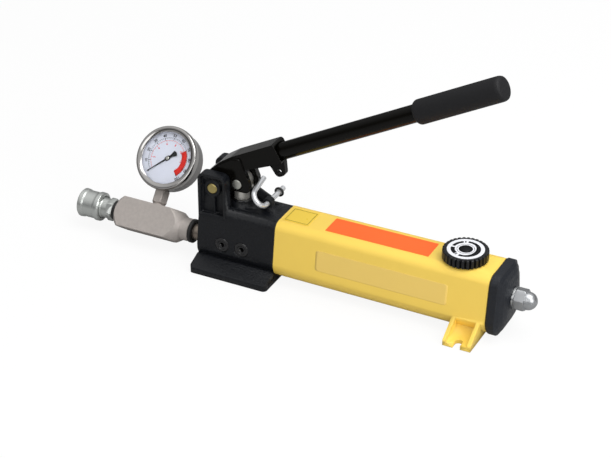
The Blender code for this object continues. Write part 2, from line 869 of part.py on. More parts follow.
# The face swells towards the nut: each slab is a narrower slice of the dome.
slab_low, slab_width = cap_rear - cap_edge_radius / 2, 1.0
for k, (width, rise) in enumerate(cap_dome_steps):
    slab_high = cap_rear + cap_dome * rise
    join(end_cap, section_plate("cap_dome_form_%d" % k,
                                cap_lip - cap_edge_radius, slab_low,
                                slab_high, rear_scale * slab_width,
                                rear_scale * width, cutter=True, steps=6))
    slab_low, slab_width = slab_high - 0.0006, width
cap_plug = section_plate("cap_plug_form", -tank_wall - fit,
                         tank_rear - spigot_length, cap_front + 0.001,
                         rear_scale * 0.997, rear_scale * 0.997,
                         cutter=True)
join(end_cap, cap_plug)
cap_hole = rod("cap_hole", rod_radius + fit, tank_rear - spigot_length - 0.01,
               cap_rear + cap_dome + 0.002, (0, 0, rod_height), X_AXIS,
               cutter=True, steps=20)
combine(end_cap, cap_hole)

washer_face = cap_rear + cap_dome + fit
turned("nut_washer", [
    (washer_radius, washer_face + washer_thickness),
    (washer_radius, washer_face), (rod_radius + fit, washer_face),
    (rod_radius + fit, washer_face + washer_thickness)],
    (0, 0, rod_height), X_AXIS, ground_steel, steps=32, ring=True)
nut_face = washer_face + washer_thickness + fit
nut = plate("cap_nut", hexagon(nut_flats, nut_turn), nut_face,
            nut_face + nut_length, (0, 0, rod_height), CROSS_PLANE,
            bright_zinc)
nut_chamfer = turned("nut_chamfer", [
    (0.0, nut_face + nut_length + 0.001),
    (nut_flats / 2 - 0.0006, nut_face + nut_length + 0.001),
    (nut_flats / math.sqrt(3) + 0.0004, nut_face + nut_length - 0.0016),
    (nut_flats / math.sqrt(3) + 0.0004, nut_face + 0.0007),
    (nut_flats / 2 + 0.0002, nut_face - 0.0004), (0.0, nut_face - 0.0004)],
    (0, 0, rod_height), X_AXIS, cutter=True)
combine(nut, nut_chamfer, 'INTERSECT')
dome_start = nut_face + nut_length - 0.001
dome = [(0.0, dome_start + nut_dome_rise + nut_dome_radius)]
for k in range(1, 7):
    angle = math.pi / 2 * (1 - k / 6)
    dome.append((nut_dome_radius * math.cos(angle),
                 dome_start + nut_dome_rise + nut_dome_radius * math.sin(angle)))
dome.append((nut_dome_radius, dome_start))
dome.append((0.0, dome_start))
join(nut, turned("nut_dome", dome, (0, 0, rod_height), X_AXIS, cutter=True,
                 steps=24))
nut_bore_depth = nut_length + 0.004
combine(nut, rod("nut_bore", rod_radius + fit, nut_face - 0.002,
                 nut_face + nut_bore_depth, (0, 0, rod_height), X_AXIS,
                 cutter=True, steps=20))
rod("tie_rod", rod_radius, tank_front + spigot_length - rod_thread_depth + fit,
    nut_face + nut_bore_depth - 0.001, (0, 0, rod_height), X_AXIS,
    grey_steel, steps=20, chamfer=0.0006)

# Filler cap.
vent_low = vent_top_face + 0.0009
vent_high = vent_low + vent_height
vent_cap = plate("vent_cap", toothed(vent_radius, vent_tooth_depth,
                                     vent_teeth), vent_low, vent_high,
                 (vent_x, 0, 0), (0, 0, 0), black_nylon, rim=vent_rim)
vent_seal_low = neck_top + fit
vent_seal_high = vent_seal_low + 0.0012
combine(vent_cap, rod("vent_space", neck_radius + fit, vent_low - 0.002,
                      vent_seal_high + fit, (vent_x, 0, 0), (0, 0, 0),
                      cutter=True, steps=32))
combine(vent_cap, rod("disc_seat", vent_disc_radius + fit,
                      vent_high - vent_disc_thickness - fit,
                      vent_high + 0.002, (vent_x, 0, 0), (0, 0, 0),
                      cutter=True, steps=40))
rod("vent_disc", vent_disc_radius, vent_high - vent_disc_thickness,
    vent_high, (vent_x, 0, 0), (0, 0, 0), disc_silver, steps=40)
turned("vent_seal", [
    (neck_radius - fit, vent_seal_high), (neck_radius - fit, vent_seal_low),
    (neck_bore + fit, vent_seal_low), (neck_bore + fit, vent_seal_high)],
    (vent_x, 0, 0), (0, 0, 0), seal_rubber, steps=32, ring=True)

# Suction line in tank.
suction_start = tank_front + spigot_length - 0.012 + fit
suction_end = suction_start + suction_length
turned("suction_tube", [
    (suction_radius, suction_end), (suction_radius, suction_start),
    (suction_radius - suction_wall, suction_start),
    (suction_radius - suction_wall, suction_end)],
    (0, suction_y, suction_height), X_AXIS, brass, steps=16, ring=True)
strainer_start = suction_end - 0.005
turned("suction_strainer", [
    (0.0, strainer_start + strainer_length),
    (strainer_radius - 0.001, strainer_start + strainer_length),
    (strainer_radius, strainer_start + strainer_length - 0.001),
    (strainer_radius, strainer_start),
    (suction_radius + fit, strainer_start),
    (suction_radius + fit, suction_end + fit),
    (0.0, suction_end + fit)],
    (0, suction_y, suction_height), X_AXIS, brass, steps=20)

# Gland, seal, wiper, piston.
thread_top = boss_top - fit
wiper_low = gland_top - wiper_height - fit
turned("gland_nut", [
    (gland_radius - 0.0006, gland_top), (gland_radius, gland_top - 0.0006),
    (gland_radius, thread_top), (gland_thread_radius, thread_top),
    (gland_thread_radius, gland_bottom), (gland_bore, gland_bottom),
    (gland_bore, wiper_low), (gland_bore + wiper_width, wiper_low),
    (gland_bore + wiper_width, gland_top)],
    (piston_x, 0, 0), (0, 0, 0), cap_black, steps=32, ring=True)
turned("rod_wiper", [
    (gland_bore + wiper_width - fit, gland_top - fit),
    (gland_bore + wiper_width - fit, wiper_low + fit),
    (piston_radius + seal_gap, wiper_low + fit),
    (piston_radius + seal_gap, gland_top - fit)],
    (piston_x, 0, 0), (0, 0, 0), seal_rubber, steps=28, ring=True)
turned("piston_seal", [
    (gland_thread_radius, gland_bottom - fit),
    (gland_thread_radius, seal_bottom + fit),
    (piston_radius + seal_gap, seal_bottom + fit),
    (piston_radius + seal_gap, gland_bottom - fit)],
    (piston_x, 0, 0), (0, 0, 0), seal_rubber, steps=28, ring=True)

piston = rod("piston", piston_radius, piston_foot - pin_z,
             head_low + 0.0005 - pin_z, (piston_x, 0, pin_z), (0, 0, 0),
             ground_steel, steps=28, chamfer=0.0004)
head = plate("piston_head_form", fillet([
    (-piston_head_radius, head_low - pin_z, 0.0015),
    (piston_head_radius, head_low - pin_z, 0.0015),
    (piston_head_radius, piston_head_radius, piston_head_radius),
    (-piston_head_radius, piston_head_radius, piston_head_radius)], 6),
    -piston_head_thickness / 2, piston_head_thickness / 2,
    (piston_x, 0, pin_z), SIDE_PLANE, cutter=True)
join(piston, head)
slot_r = piston_pin_radius + slot_rise
slot_end = slot_slide + slot_r
combine(piston, plate("piston_slot", fillet([
    (-slot_end, -slot_r, slot_r), (slot_end, -slot_r, slot_r),
    (slot_end, slot_r, slot_r), (-slot_end, slot_r, slot_r)], 6),
    -0.02, 0.02, (piston_x, 0, pin_z), SIDE_PLANE, cutter=True))

pivot_pin_end = ear_outer - boss_recess + pivot_pin_proud
rod("pivot_pin", pivot_pin_radius, -pivot_pin_end, pivot_pin_end,
    (pivot_x, 0, pivot_height), Y_AXIS,
    yellow_zinc, steps=28, chamfer=0.0007)

# Lever.
pivot = Vector((pivot_x, 0.0, pivot_height))
axis_foot = handle_up * handle_offset


def along(reach, rise):
    """Point in the lever's side view, from the handle's own axis."""
    spot = axis_foot + handle_dir * reach + handle_up * rise
    return spot.x, spot.z


under_start = along(under_reach, bar_low)
bar_corners = [
    (-nose_radius, -nose_radius, nose_radius * 0.92),
    (nose_radius * 0.35, -nose_radius, 0.008),
    (arm_x - 0.0055, cheek_low, 0.006),
    (arm_x + 0.0065, cheek_low, 0.003),
    (arm_x + 0.0065, under_start[1], 0.002),
    (*along(socket_reach, bar_low), 0.0015),
    (*along(socket_reach, bar_high), 0.0030),
    (*along(crown_reach, bar_high), 0.030),
    (crown_forward, crown_height, 0.030),
    (-nose_radius, 0.0092, 0.008)]
lever = plate("lever_beam", fillet(bar_corners, 4), -lever_width / 2,
              lever_width / 2, (pivot_x, 0, pivot_height), SIDE_PLANE,
              gloss_black)
soften(lever, 0.0012, 1)
cheek_corners = [
    (-nose_radius + 0.0006, -nose_radius + 0.0006, nose_radius * 0.88),
    (nose_radius * 0.35, -nose_radius + 0.0006, 0.008),
    (arm_x - 0.0055, cheek_low, 0.006),
    (cheek_rear, cheek_low + 0.0008, 0.004),
    (cheek_rear, cheek_shoulder, 0.004),
    (*along(0.0385, bar_high - 0.0028), 0.003),
    (*along(0.0270, bar_high - 0.0028), 0.020),
    (0.0034, 0.0222, 0.020),
    (-nose_radius + 0.0006, 0.0076, 0.008)]
cheeks = plate("cheek_form", fillet(cheek_corners, 3), -cheek_width / 2,
               cheek_width / 2, (pivot_x, 0, pivot_height), SIDE_PLANE,
               cutter=True)
join(lever, cheeks)
lug_x, lug_z = along(lug_reach, -lug_drop)
lug_low = -lug_drop - lug_radius
lug_corners = [
    (*along(lug_reach - 0.0085, bar_low + 0.004), 0.0),
    (*along(lug_reach - 0.0062, bar_low - 0.0030), 0.002),
    (*along(lug_reach - lug_radius, lug_low), lug_radius * 0.9),
    (*along(lug_reach + lug_radius, lug_low), lug_radius * 0.9),
    (*along(socket_reach - 0.0020, bar_low - 0.0010), 0.002),
    (*along(socket_reach - 0.0008, bar_low + 0.003), 0.0)]
join(lever, plate("lug_form", fillet(lug_corners, 4), -lug_thickness / 2,
                  lug_thickness / 2, (pivot_x, 0, pivot_height),
                  SIDE_PLANE, cutter=True))
slot_front = reach_near - piston_head_radius - 0.0018
slot_top = arm_z + piston_head_radius + 0.0042
combine(lever, plate("head_slot", fillet([
    (slot_front, -0.030, 0.0), (arm_x + 0.030, -0.030, 0.0),
    (arm_x + 0.030, slot_top, 0.0), (slot_front, slot_top, 0.003)], 3),
    -head_slot_width / 2, head_slot_width / 2,
    (pivot_x, 0, pivot_height), SIDE_PLANE, cutter=True))
combine(lever, rod("lever_pivot_hole", pivot_pin_radius + fit, -0.02, 0.02,
                   (pivot_x, 0, pivot_height), Y_AXIS, cutter=True,
                   steps=28))
combine(lever, rod("lever_pin_hole", piston_pin_radius + fit, -0.02, 0.02,
                   (pivot_x + arm_x, 0, pivot_height + arm_z), Y_AXIS,
                   cutter=True, steps=28))
combine(lever, rod("lug_hole", lug_hole_radius, -0.02, 0.02,
                   (pivot_x + lug_x, 0, pivot_height + lug_z), Y_AXIS,
                   cutter=True, steps=16))

handle_turn = (0.0, math.pi / 2 - math.radians(handle_angle), 0.0)
axis_start = pivot + axis_foot
tube_start = socket_reach - socket_depth
grip_end = grip_start + grip_length
tube_end = grip_end - grip_end_wall - fit
combine(lever, rod("tube_socket", tube_radius + fit, tube_start - fit,
                   socket_reach + 0.01, axis_start, handle_turn,
                   cutter=True, steps=28))
turned("handle_tube", [
    (tube_radius, tube_end), (tube_radius, tube_start),
    (tube_radius - tube_wall, tube_start),
    (tube_radius - tube_wall, tube_end)],
    axis_start, handle_turn, gloss_black, steps=28, ring=True)
turned("grip", [
    (0.0, grip_end), (grip_radius - 0.0022, grip_end),
    (grip_radius - 0.0006, grip_end - 0.0007),
    (grip_radius, grip_end - 0.0022),
    (grip_radius, grip_start + 0.0015),
    (grip_radius - 0.0008, grip_start),
    (tube_radius + fit, grip_start),
    (tube_radius + fit, tube_end + fit), (0.0, tube_end + fit)],
    axis_start, handle_turn, grip_rubber, steps=32)
rod("piston_pin", piston_pin_radius, -cheek_width / 2 - pivot_pin_proud * 0.5,
    cheek_width / 2 + pivot_pin_proud * 0.5,
    (pivot_x + arm_x, 0, pivot_height + arm_z), Y_AXIS, bright_zinc,
    steps=28, chamfer=0.0006)

# Lock wire.
wire_turn_radius = cheek_reach + wire_radius + wire_clear


def wire_point(angle, y):
    """Point of the free leg, just behind the lever's swinging corner."""
    turn = math.radians(angle)
    return Vector((pivot_x + wire_turn_radius * math.cos(turn) - wire_x, y,
                   pivot_height + wire_turn_radius * math.sin(turn)
                   - wire_z))


free_start = wire_point(wire_start_angle, wire_bend_y)
free_end = wire_point(wire_end_angle, wire_bend_y + wire_return)
across = Vector((free_start.x, 0.0, free_start.z)) / 2
route = [Vector((0.0, wire_tip_y, 0.0)), Vector((0.0, wire_bend_y, 0.0))]
bend_steps = 12
for k in range(1, bend_steps + 1):
    angle = math.pi * k / bend_steps
    bulge = Vector((0.0, -across.length * math.sin(angle), 0.0))
    route.append(route[1] + across * (1 - math.cos(angle)) + bulge)
route.append(free_end)
curve = bpy.data.curves.new("lock_pin", 'CURVE')
curve.dimensions = '3D'
curve.bevel_depth = wire_radius
curve.bevel_resolution = 2
curve.use_fill_caps = True
spline = curve.splines.new('POLY')
spline.points.add(len(route) - 1)
for point, spot in zip(spline.points, route):
    point.co = (*spot, 1.0)
wire = bpy.data.objects.new("lock_pin", curve)
wire.location = (wire_x, 0.0, wire_z)
bpy.context.scene.collection.objects.link(wire)
link(curve_to_mesh(wire), bright_zinc)
bpy.ops.mesh.primitive_torus_add(
    major_radius=wire_radius + wire_ring_thickness / 2 + 0.00015,
    minor_radius=wire_ring_thickness / 2, major_segments=20,
    minor_segments=8, location=(wire_x, wire_ring_y, wire_z),
    rotation=Y_AXIS)
ring = bpy.context.object
ring.name = "lock_pin_ring"
link(ring, seal_rubber)

# Valve plugs.
for i, place in enumerate(("front", "rear")):
    x = plug_first_x + i * plug_pitch
    plug = rod("%s_valve_plug" % place, plug_radius, plug_inner, plug_face,
               (x, 0, plug_height), MINUS_Y_AXIS, black_nylon, steps=24,
               chamfer=0.0006)
    combine(plug, plate("plug_socket_%d" % i, hexagon(plug_socket_flats),
                        plug_face - plug_socket_depth, plug_face + 0.002,
                        (x, 0, plug_height), MINUS_Y_AXIS, cutter=True))
    turned("%s_valve_spring" % place, [
        (valve_bore_radius - fit, plug_inner - fit),
        (valve_bore_radius - fit, spring_end + fit),
        (valve_bore_radius - fit - 0.0008, spring_end + fit),
        (valve_bore_radius - fit - 0.0008, plug_inner - fit)],
        (x, 0, plug_height), MINUS_Y_AXIS, ground_steel, steps=16,
        ring=True)
    ball = bpy.data.meshes.new("%s_valve_ball" % place)
    solid = bmesh.new()
    bmesh.ops.create_uvsphere(solid, u_segments=12, v_segments=8,
                              radius=valve_ball_radius)
    solid.to_mesh(ball)
    solid.free()
    sphere = bpy.data.objects.new("%s_valve_ball" % place, ball)
    sphere.location = (x, -(spring_end - valve_ball_radius), plug_height)
    link(sphere, ground_steel)

# Release valve.
release_spot = (release_x, 0, release_height)
knob_low = side_at_release + release_knob_gap
knob_high = knob_low + release_knob_length
stem_low = side_at_release - release_stem_depth
stem_high = knob_high - 0.0025
turned("release_stem", [
    (0.0, stem_high), (release_stem_radius, stem_high),
    (release_stem_radius, stem_low + release_stem_radius * 0.8),
    (0.0, stem_low)], release_spot, Y_AXIS, grey_steel, steps=20)
release_knob = plate("release_knob", toothed(
    release_knob_radius, 0.0009, release_lobes), knob_low, knob_high,
    release_spot, Y_AXIS, black_nylon, rim=0.0006)
combine(release_knob, rod("release_knob_bore", release_stem_radius + fit,
                          knob_low - 0.002, stem_high + fit, release_spot,
                          Y_AXIS, cutter=True, steps=20))

# Outlet line.
line_spot = (0, outlet_y, outlet_height)
nipple_start = block_rear - thread_depth
nipple_end = port_end - fit
turned("outlet_nipple", [
    (nipple_radius - 0.0006, nipple_end),
    (nipple_radius, nipple_end - 0.0006),
    (nipple_radius, nipple_start + 0.0006),
    (nipple_radius - 0.0006, nipple_start), (nipple_bore, nipple_start),
    (nipple_bore, nipple_end)], line_spot, X_AXIS, bright_zinc, steps=28,
    ring=True)
ring_low = block_rear + fit
turned("outlet_ring", [
    (ring_radius - 0.0008, ring_low + ring_thickness),
    (ring_radius, ring_low + ring_thickness - 0.0008),
    (ring_radius, ring_low + 0.0003), (ring_radius - 0.0003, ring_low),
    (nipple_radius + fit, ring_low),
    (nipple_radius + fit, ring_low + ring_thickness)],
    line_spot, X_AXIS, seal_rubber, steps=32, ring=True)

square = [(-block_side / 2, -block_side / 2), (block_side / 2,
          -block_side / 2), (block_side / 2, block_side / 2),
          (-block_side / 2, block_side / 2)]
spin = Matrix.Rotation(roll, 2)
square = [tuple(spin @ Vector(point)) for point in square]
adapter = plate("gauge_adapter", square, block_front, block_rear,
                line_spot, CROSS_PLANE, grey_steel)
corner = block_side / math.sqrt(2.0)
rear_cone = corner - block_chamfer_radius
adapter_turn = turned("adapter_turning", [
    (0.0, block_rear + 0.001), (block_neck_radius, block_rear + 0.001),
    (block_neck_radius, neck_start + 0.0012),
    (block_neck_radius + 0.0012, neck_start),
    (corner, neck_start - rear_cone - 0.0015),
    (corner + 0.001, neck_start - rear_cone - 0.0025),
    (corner + 0.001, block_front + rear_cone + 0.001),
    (corner, block_front + rear_cone),
    (block_chamfer_radius, block_front),
    (block_chamfer_radius - 0.002, block_front - 0.001),
    (0.0, block_front - 0.001)], line_spot, X_AXIS, cutter=True, steps=32)
combine(adapter, adapter_turn, 'INTERSECT')
combine(adapter, rod("adapter_bore", nipple_bore, block_front - 0.002,
                     block_rear + 0.002, line_spot, X_AXIS, cutter=True,
                     steps=16))
combine(adapter, rod("adapter_rear_socket", nipple_radius + fit,
                     nipple_start - fit, block_rear + 0.004, line_spot,
                     X_AXIS, cutter=True, steps=28))
combine(adapter, rod("adapter_front_socket", nipple_radius + fit,
                     block_front - 0.004, block_front + thread_depth + fit,
                     line_spot, X_AXIS, cutter=True, steps=28))
stem_rotation = (roll - math.pi / 2, 0.0, 0.0)
gauge_port = Vector((gauge_x, outlet_y, outlet_height))
combine(adapter, rod("gauge_port", stem_thread_radius + fit,
                     block_side / 2 - stem_thread_depth - fit,
                     block_side / 2 + 0.004, gauge_port, stem_rotation,
                     cutter=True, steps=24))
combine(adapter, rod("gauge_passage", 0.0015, 0.0,
                     block_side / 2 - stem_thread_depth + 0.001, gauge_port,
                     stem_rotation, cutter=True, steps=10))

# Coupler.
hex_rear = block_front - coupler_gap
hex_front = hex_rear - coupler_hex_length
tail_front = hex_front - coupler_tail_length
sleeve_rear = tail_front
sleeve_front = sleeve_rear - sleeve_length
mouth = sleeve_front + 0.0012
coupler = plate("coupler_body", hexagon(coupler_hex_flats), hex_front,
                hex_rear, line_spot, CROSS_PLANE, bright_zinc)
combine(coupler, turned("coupler_hex_chamfer", [
    (0.0, hex_rear + 0.0004),
    (coupler_hex_flats / 2 + 0.0003, hex_rear + 0.0004),
    (coupler_hex_flats / math.sqrt(3) + 0.0003, hex_rear - 0.0006),
    (coupler_hex_flats / math.sqrt(3) + 0.0003, hex_front + 0.0006),
    (coupler_hex_flats / 2 + 0.0003, hex_front - 0.0004),
    (0.0, hex_front - 0.0004)], line_spot, X_AXIS, cutter=True),
    'INTERSECT')
thread_end = block_front + thread_depth
join(coupler, turned("coupler_form", [
    (0.0, thread_end), (nipple_radius - 0.0006, thread_end),
    (nipple_radius, thread_end - 0.0006), (nipple_radius, hex_rear - 0.001),
    (coupler_tail_radius, hex_front + 0.001),
    (coupler_tail_radius, tail_front + 0.001),
    (coupler_body_radius, tail_front - 0.0002),
    (coupler_body_radius, mouth + 0.0008),
    (coupler_body_radius - 0.0008, mouth), (0.0, mouth)],
    line_spot, X_AXIS, cutter=True, steps=26))
poppet_seat = tail_front - 0.0020
poppet_stop = poppet_seat + 0.0060 + poppet_travel + 0.0005
combine(coupler, turned("coupler_bore", [
    (0.0, thread_end + 0.002), (nipple_bore, thread_end + 0.002),
    (nipple_bore, poppet_stop + 0.0005), (coupler_bore, poppet_stop),
    (coupler_bore, mouth - 0.002), (0.0, mouth - 0.002)],
    line_spot, X_AXIS, cutter=True, steps=28))
turned("coupler_ring", [
    (coupler_ring_radius, block_front - fit),
    (coupler_ring_radius, hex_rear + fit), (nipple_radius + fit,
                                            hex_rear + fit),
    (nipple_radius + fit, block_front - fit)], line_spot, X_AXIS,
    seal_rubber, steps=28, ring=True)
sleeve_bore = coupler_body_radius + fit
turned("coupler_sleeve", [
    (sleeve_radius - 0.0024, sleeve_rear),
    (sleeve_radius - 0.0012, sleeve_rear - 0.0012),
    (sleeve_radius, sleeve_rear - 0.0030),
    (sleeve_radius, sleeve_rear - 0.0070),
    (sleeve_radius - sleeve_groove, sleeve_rear - 0.0082),
    (sleeve_radius - sleeve_groove, sleeve_rear - 0.0158),
    (sleeve_radius, sleeve_rear - 0.0170),
    (sleeve_radius, sleeve_front + 0.0032),
    (sleeve_radius - 0.0010, sleeve_front + 0.0010),
    (sleeve_radius - 0.0022, sleeve_front),
    (sleeve_bore + 0.0003, sleeve_front),
    (sleeve_bore, sleeve_front + 0.0006), (sleeve_bore, sleeve_rear)],
    line_spot, X_AXIS, bright_zinc, steps=32, ring=True)
turned("coupler_poppet", [
    (0.0, poppet_seat + 0.0060), (0.0030, poppet_seat + 0.0060),
    (0.0034, poppet_seat + 0.0010), (poppet_radius, poppet_seat),
    (poppet_radius, poppet_seat - 0.0030),
    (0.0040, poppet_seat - 0.0052), (0.0034, poppet_seat - 0.0090),
    (0.0, poppet_seat - 0.0096)], line_spot, X_AXIS, ground_steel,
    steps=24)

# Gauge.
dial_turn = (roll, 0.0, 0.0)
case_front = gauge_face - glass_setback
turned("gauge_case", [
    (0.0, -gauge_back), (case_radius - 0.0045, -gauge_back),
    (case_radius - 0.0013, -gauge_back + 0.0013),
    (case_radius, -gauge_back + 0.0045), (case_radius, case_front),
    (case_radius - case_wall, case_front),
    (case_radius - case_wall, -gauge_back + 0.0045),
    (case_radius - 0.0050, -gauge_back + case_wall),
    (0.0, -gauge_back + case_wall)][::-1], gauge_centre, dial_turn,
    polished_steel, steps=40)
gauge_case = bpy.data.objects["gauge_case"]
combine(gauge_case, rod("case_stem_hole", stem_hex_flats / 2 - 0.001,
                        -case_radius - 0.004, -case_radius + 0.006,
                        gauge_centre, stem_rotation, cutter=True, steps=20))
skirt = case_radius + fit
lip_inner = bezel_radius - bezel_lip
bezel_back = gauge_face - bezel_length
turned("gauge_bezel", [
    (lip_inner, gauge_face - 0.0010), (lip_inner + 0.0012, gauge_face),
    (bezel_radius - 0.0022, gauge_face),
    (bezel_radius - 0.0006, gauge_face - 0.0008),
    (bezel_radius, gauge_face - 0.0024), (bezel_radius, bezel_back),
    (skirt, bezel_back), (skirt, case_front + fit),
    (lip_inner, case_front + fit)], gauge_centre, dial_turn,
    polished_steel, steps=40, ring=True)
glass_high = case_front - fit
glass_low = glass_high - glass_thickness
glass_radius = case_radius - case_wall - fit
rod("gauge_glass", glass_radius, glass_low, glass_high, gauge_centre,
    dial_turn, clear_glass, steps=40)
dial_high = glass_low - dial_gap
dial_low = dial_high - dial_thickness
dial = rod("gauge_dial", glass_radius, dial_low, dial_high, gauge_centre,
           dial_turn, dial_white, steps=40)
combine(dial, rod("dial_hole", 0.0016, dial_low - 0.001, dial_high + 0.001,
                  gauge_centre, dial_turn, cutter=True, steps=12))
needle_low = dial_high + 0.0006
needle = plate("gauge_pointer", [
    (pointer_length, -0.00025), (pointer_length, 0.00025),
    (0.0030, 0.0008), (0.0018, 0.0022), (-0.0018, 0.0022),
    (-0.0035, 0.0009), (-pointer_tail, 0.0030),
    (-pointer_tail - 0.0010, 0.0), (-pointer_tail, -0.0030),
    (-0.0035, -0.0009), (-0.0018, -0.0022), (0.0018, -0.0022),
    (0.0030, -0.0008)], needle_low, needle_low + pointer_thickness,
    gauge_centre, dial_turn, pointer_black)
zero_angle = math.radians(223.5)
needle.data.transform(Matrix.Rotation(zero_angle, 4, 'Z'))
turned("pointer_shaft", [
    (0.0, glass_low - 0.0004), (0.0019, glass_low - 0.0004),
    (0.0019, needle_low + pointer_thickness + 0.0001),
    (shaft_radius, needle_low + pointer_thickness + 0.0001),
    (shaft_radius, dial_low - 0.0030), (0.0, dial_low - 0.0030)],
    gauge_centre,
    dial_turn, brass, steps=16)
combine(needle, rod("needle_hole", shaft_radius + 0.0001,
                    needle_low - 0.001, needle_low + 0.002, gauge_centre,
                    dial_turn, cutter=True, steps=16))

# Stem: hexagon under the case, thread in the block, carrier in the case.
hex_top = gauge_rise - case_radius - fit
hex_low = block_side / 2 + 0.0022
stem = plate("gauge_stem", hexagon(stem_hex_flats), hex_low, hex_top,
             gauge_port, stem_rotation, grey_steel)
soften(stem, 0.0005, 1)
join(stem, rod("stem_thread_form", stem_thread_radius,
               block_side / 2 - stem_thread_depth, hex_low + 0.001,
               gauge_port, stem_rotation, cutter=True, steps=24))
join(stem, rod("stem_inner_form", stem_hex_flats / 2 - 0.0016,
               hex_top - 0.001, gauge_rise - case_radius + stem_inner,
               gauge_port, stem_rotation, cutter=True, steps=20))
combine(stem, rod("stem_bore", 0.0013, block_side / 2 - stem_thread_depth
                  - 0.002, gauge_rise - case_radius + stem_inner - 0.002,
                  gauge_port, stem_rotation, cutter=True, steps=10))

# Movement plate between the stem and the dial, and the curved tube.
movement_low = case_radius - stem_inner - fit
movement_high = 0.0055
movement_thickness = 0.0070
movement = block("gauge_movement", (
    0.0120, movement_low + movement_high, movement_thickness),
    gauge_centre + dial_normal * (dial_low - fit - movement_thickness / 2)
    - stem_dir * ((movement_low - movement_high) / 2), dial_turn, brass)
combine(movement, rod("movement_hole", shaft_radius + fit, 0.0,
                      dial_high, gauge_centre, dial_turn, cutter=True,
                      steps=16))
bourdon = bpy.data.curves.new("bourdon_tube", 'CURVE')
bourdon.dimensions = '3D'
bourdon.bevel_depth = bourdon_tube_radius
bourdon.bevel_resolution = 1
bourdon.use_fill_caps = True
arc = bourdon.splines.new('POLY')
arc_steps = 20
arc.points.add(arc_steps)
for k in range(arc_steps + 1):
    angle = math.radians(bourdon_start + bourdon_sweep * k / arc_steps)
    arc.points[k].co = (bourdon_radius * math.cos(angle),
                        bourdon_radius * math.sin(angle), -0.0030, 1.0)
tube_obj = bpy.data.objects.new("bourdon_tube", bourdon)
tube_obj.location = gauge_centre
tube_obj.rotation_euler = dial_turn
bpy.context.scene.collection.objects.link(tube_obj)
link(curve_to_mesh(tube_obj), brass)

# Stickers.


def sticker_plate(name, x_low, x_high, width, material):
    """Thin label on the tank's flat top, leaning with the taper."""
    middle = (x_low + x_high) / 2
    lean = math.atan((tank_top - rod_height) * tank_growth / tank_length)
    top = rod_height + (tank_top - rod_height) * tank_scale(middle)
    return block(name, (x_high - x_low, width, sticker),
                 (middle, 0.0, top + sticker / 2 + 0.0001),
                 (0.0, -lean, 0.0), material)


sticker_plate("top_label", tank_front + top_sticker_start,
              vent_x - vent_radius - top_sticker_clear, sticker_width,
              label_orange)
front_sticker_x = tank_front + front_sticker_start
sticker_plate("front_label", front_sticker_x,
              front_sticker_x + front_sticker_length, sticker_width,
              label_yellow)



def carry(name, location, children):
    """Empty on a joint's axis, with the pieces that move about it."""
    empty = bpy.data.objects.new(name, None)
    empty.location = location
    empty.empty_display_size = 0.02
    parts.objects.link(empty)
    bpy.context.view_layer.update()
    for child in children:
        obj = bpy.data.objects[child]
        obj.parent = empty
        obj.matrix_parent_inverse = empty.matrix_world.inverted()


carry("lever_axis", (pivot_x, 0, pivot_height),
      ("lever_beam", "handle_tube", "grip", "piston_pin"))
carry("wire_axis", (wire_x, 0, wire_z), ("lock_pin", "lock_pin_ring"))
carry("vent_axis", (vent_x, 0, neck_top),
      ("vent_cap", "vent_disc", "vent_seal"))
carry("release_axis", (release_x, side_at_release, release_height),
      ("release_knob", "release_stem"))
carry("gauge_axis", gauge_centre, ("gauge_pointer", "pointer_shaft"))

for obj in parts.objects:
    if obj.type == 'MESH' and len(obj.data.polygons):
        obj.data.shade_smooth()
        obj.data.set_sharp_from_angle(angle=math.radians(35.0))
bpy.context.view_layer.update()
print("parts:", len(parts.objects))
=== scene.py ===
# %% [markdown]
# # A hydraulic hand pump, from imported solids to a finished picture
#
# The pump is already built as solids that really fit and move.
# This lesson gives them their looks: smoother round parts, a printed gauge
# dial, labels, and surfaces that catch the light as paint, zinc plate, rubber
# and cast metal do. Every new piece rides on the solid's moving body, so the
# lever, the piston and the pointer still move with it.

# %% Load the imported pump
import json
import math

import bmesh
import bpy
from mathutils import Matrix, Vector
from mathutils.bvhtree import BVHTree


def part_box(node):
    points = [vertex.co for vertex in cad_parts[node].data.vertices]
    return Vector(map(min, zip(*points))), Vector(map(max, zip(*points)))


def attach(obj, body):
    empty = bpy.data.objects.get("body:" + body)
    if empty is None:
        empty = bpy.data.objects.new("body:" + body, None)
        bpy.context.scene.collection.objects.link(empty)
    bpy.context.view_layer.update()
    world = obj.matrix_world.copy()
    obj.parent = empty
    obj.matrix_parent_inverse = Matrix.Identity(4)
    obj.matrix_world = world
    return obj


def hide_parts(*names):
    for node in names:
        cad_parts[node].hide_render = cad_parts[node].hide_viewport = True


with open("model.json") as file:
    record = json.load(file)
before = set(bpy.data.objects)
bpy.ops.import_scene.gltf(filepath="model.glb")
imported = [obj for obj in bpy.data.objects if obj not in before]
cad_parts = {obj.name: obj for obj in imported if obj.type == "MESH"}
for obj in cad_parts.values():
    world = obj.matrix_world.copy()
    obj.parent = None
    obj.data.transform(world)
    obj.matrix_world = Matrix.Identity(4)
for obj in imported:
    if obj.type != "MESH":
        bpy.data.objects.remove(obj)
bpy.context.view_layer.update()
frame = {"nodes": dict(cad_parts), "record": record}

scene = bpy.context.scene
behaviour = frame["record"]["behaviour"]
owner = {node: body
         for body, nodes in behaviour["bodies"].items()
         for node in nodes}
joint_of = {joint["name"]: joint for joint in behaviour["joints"]}

# %% [markdown]
# ## The camera
#
# A long lens from nearly two metres away keeps the tank's edges almost
# parallel, as in a product photograph. The camera stands to the right of the
# pump's near side and looks down on it by about thirty degrees.

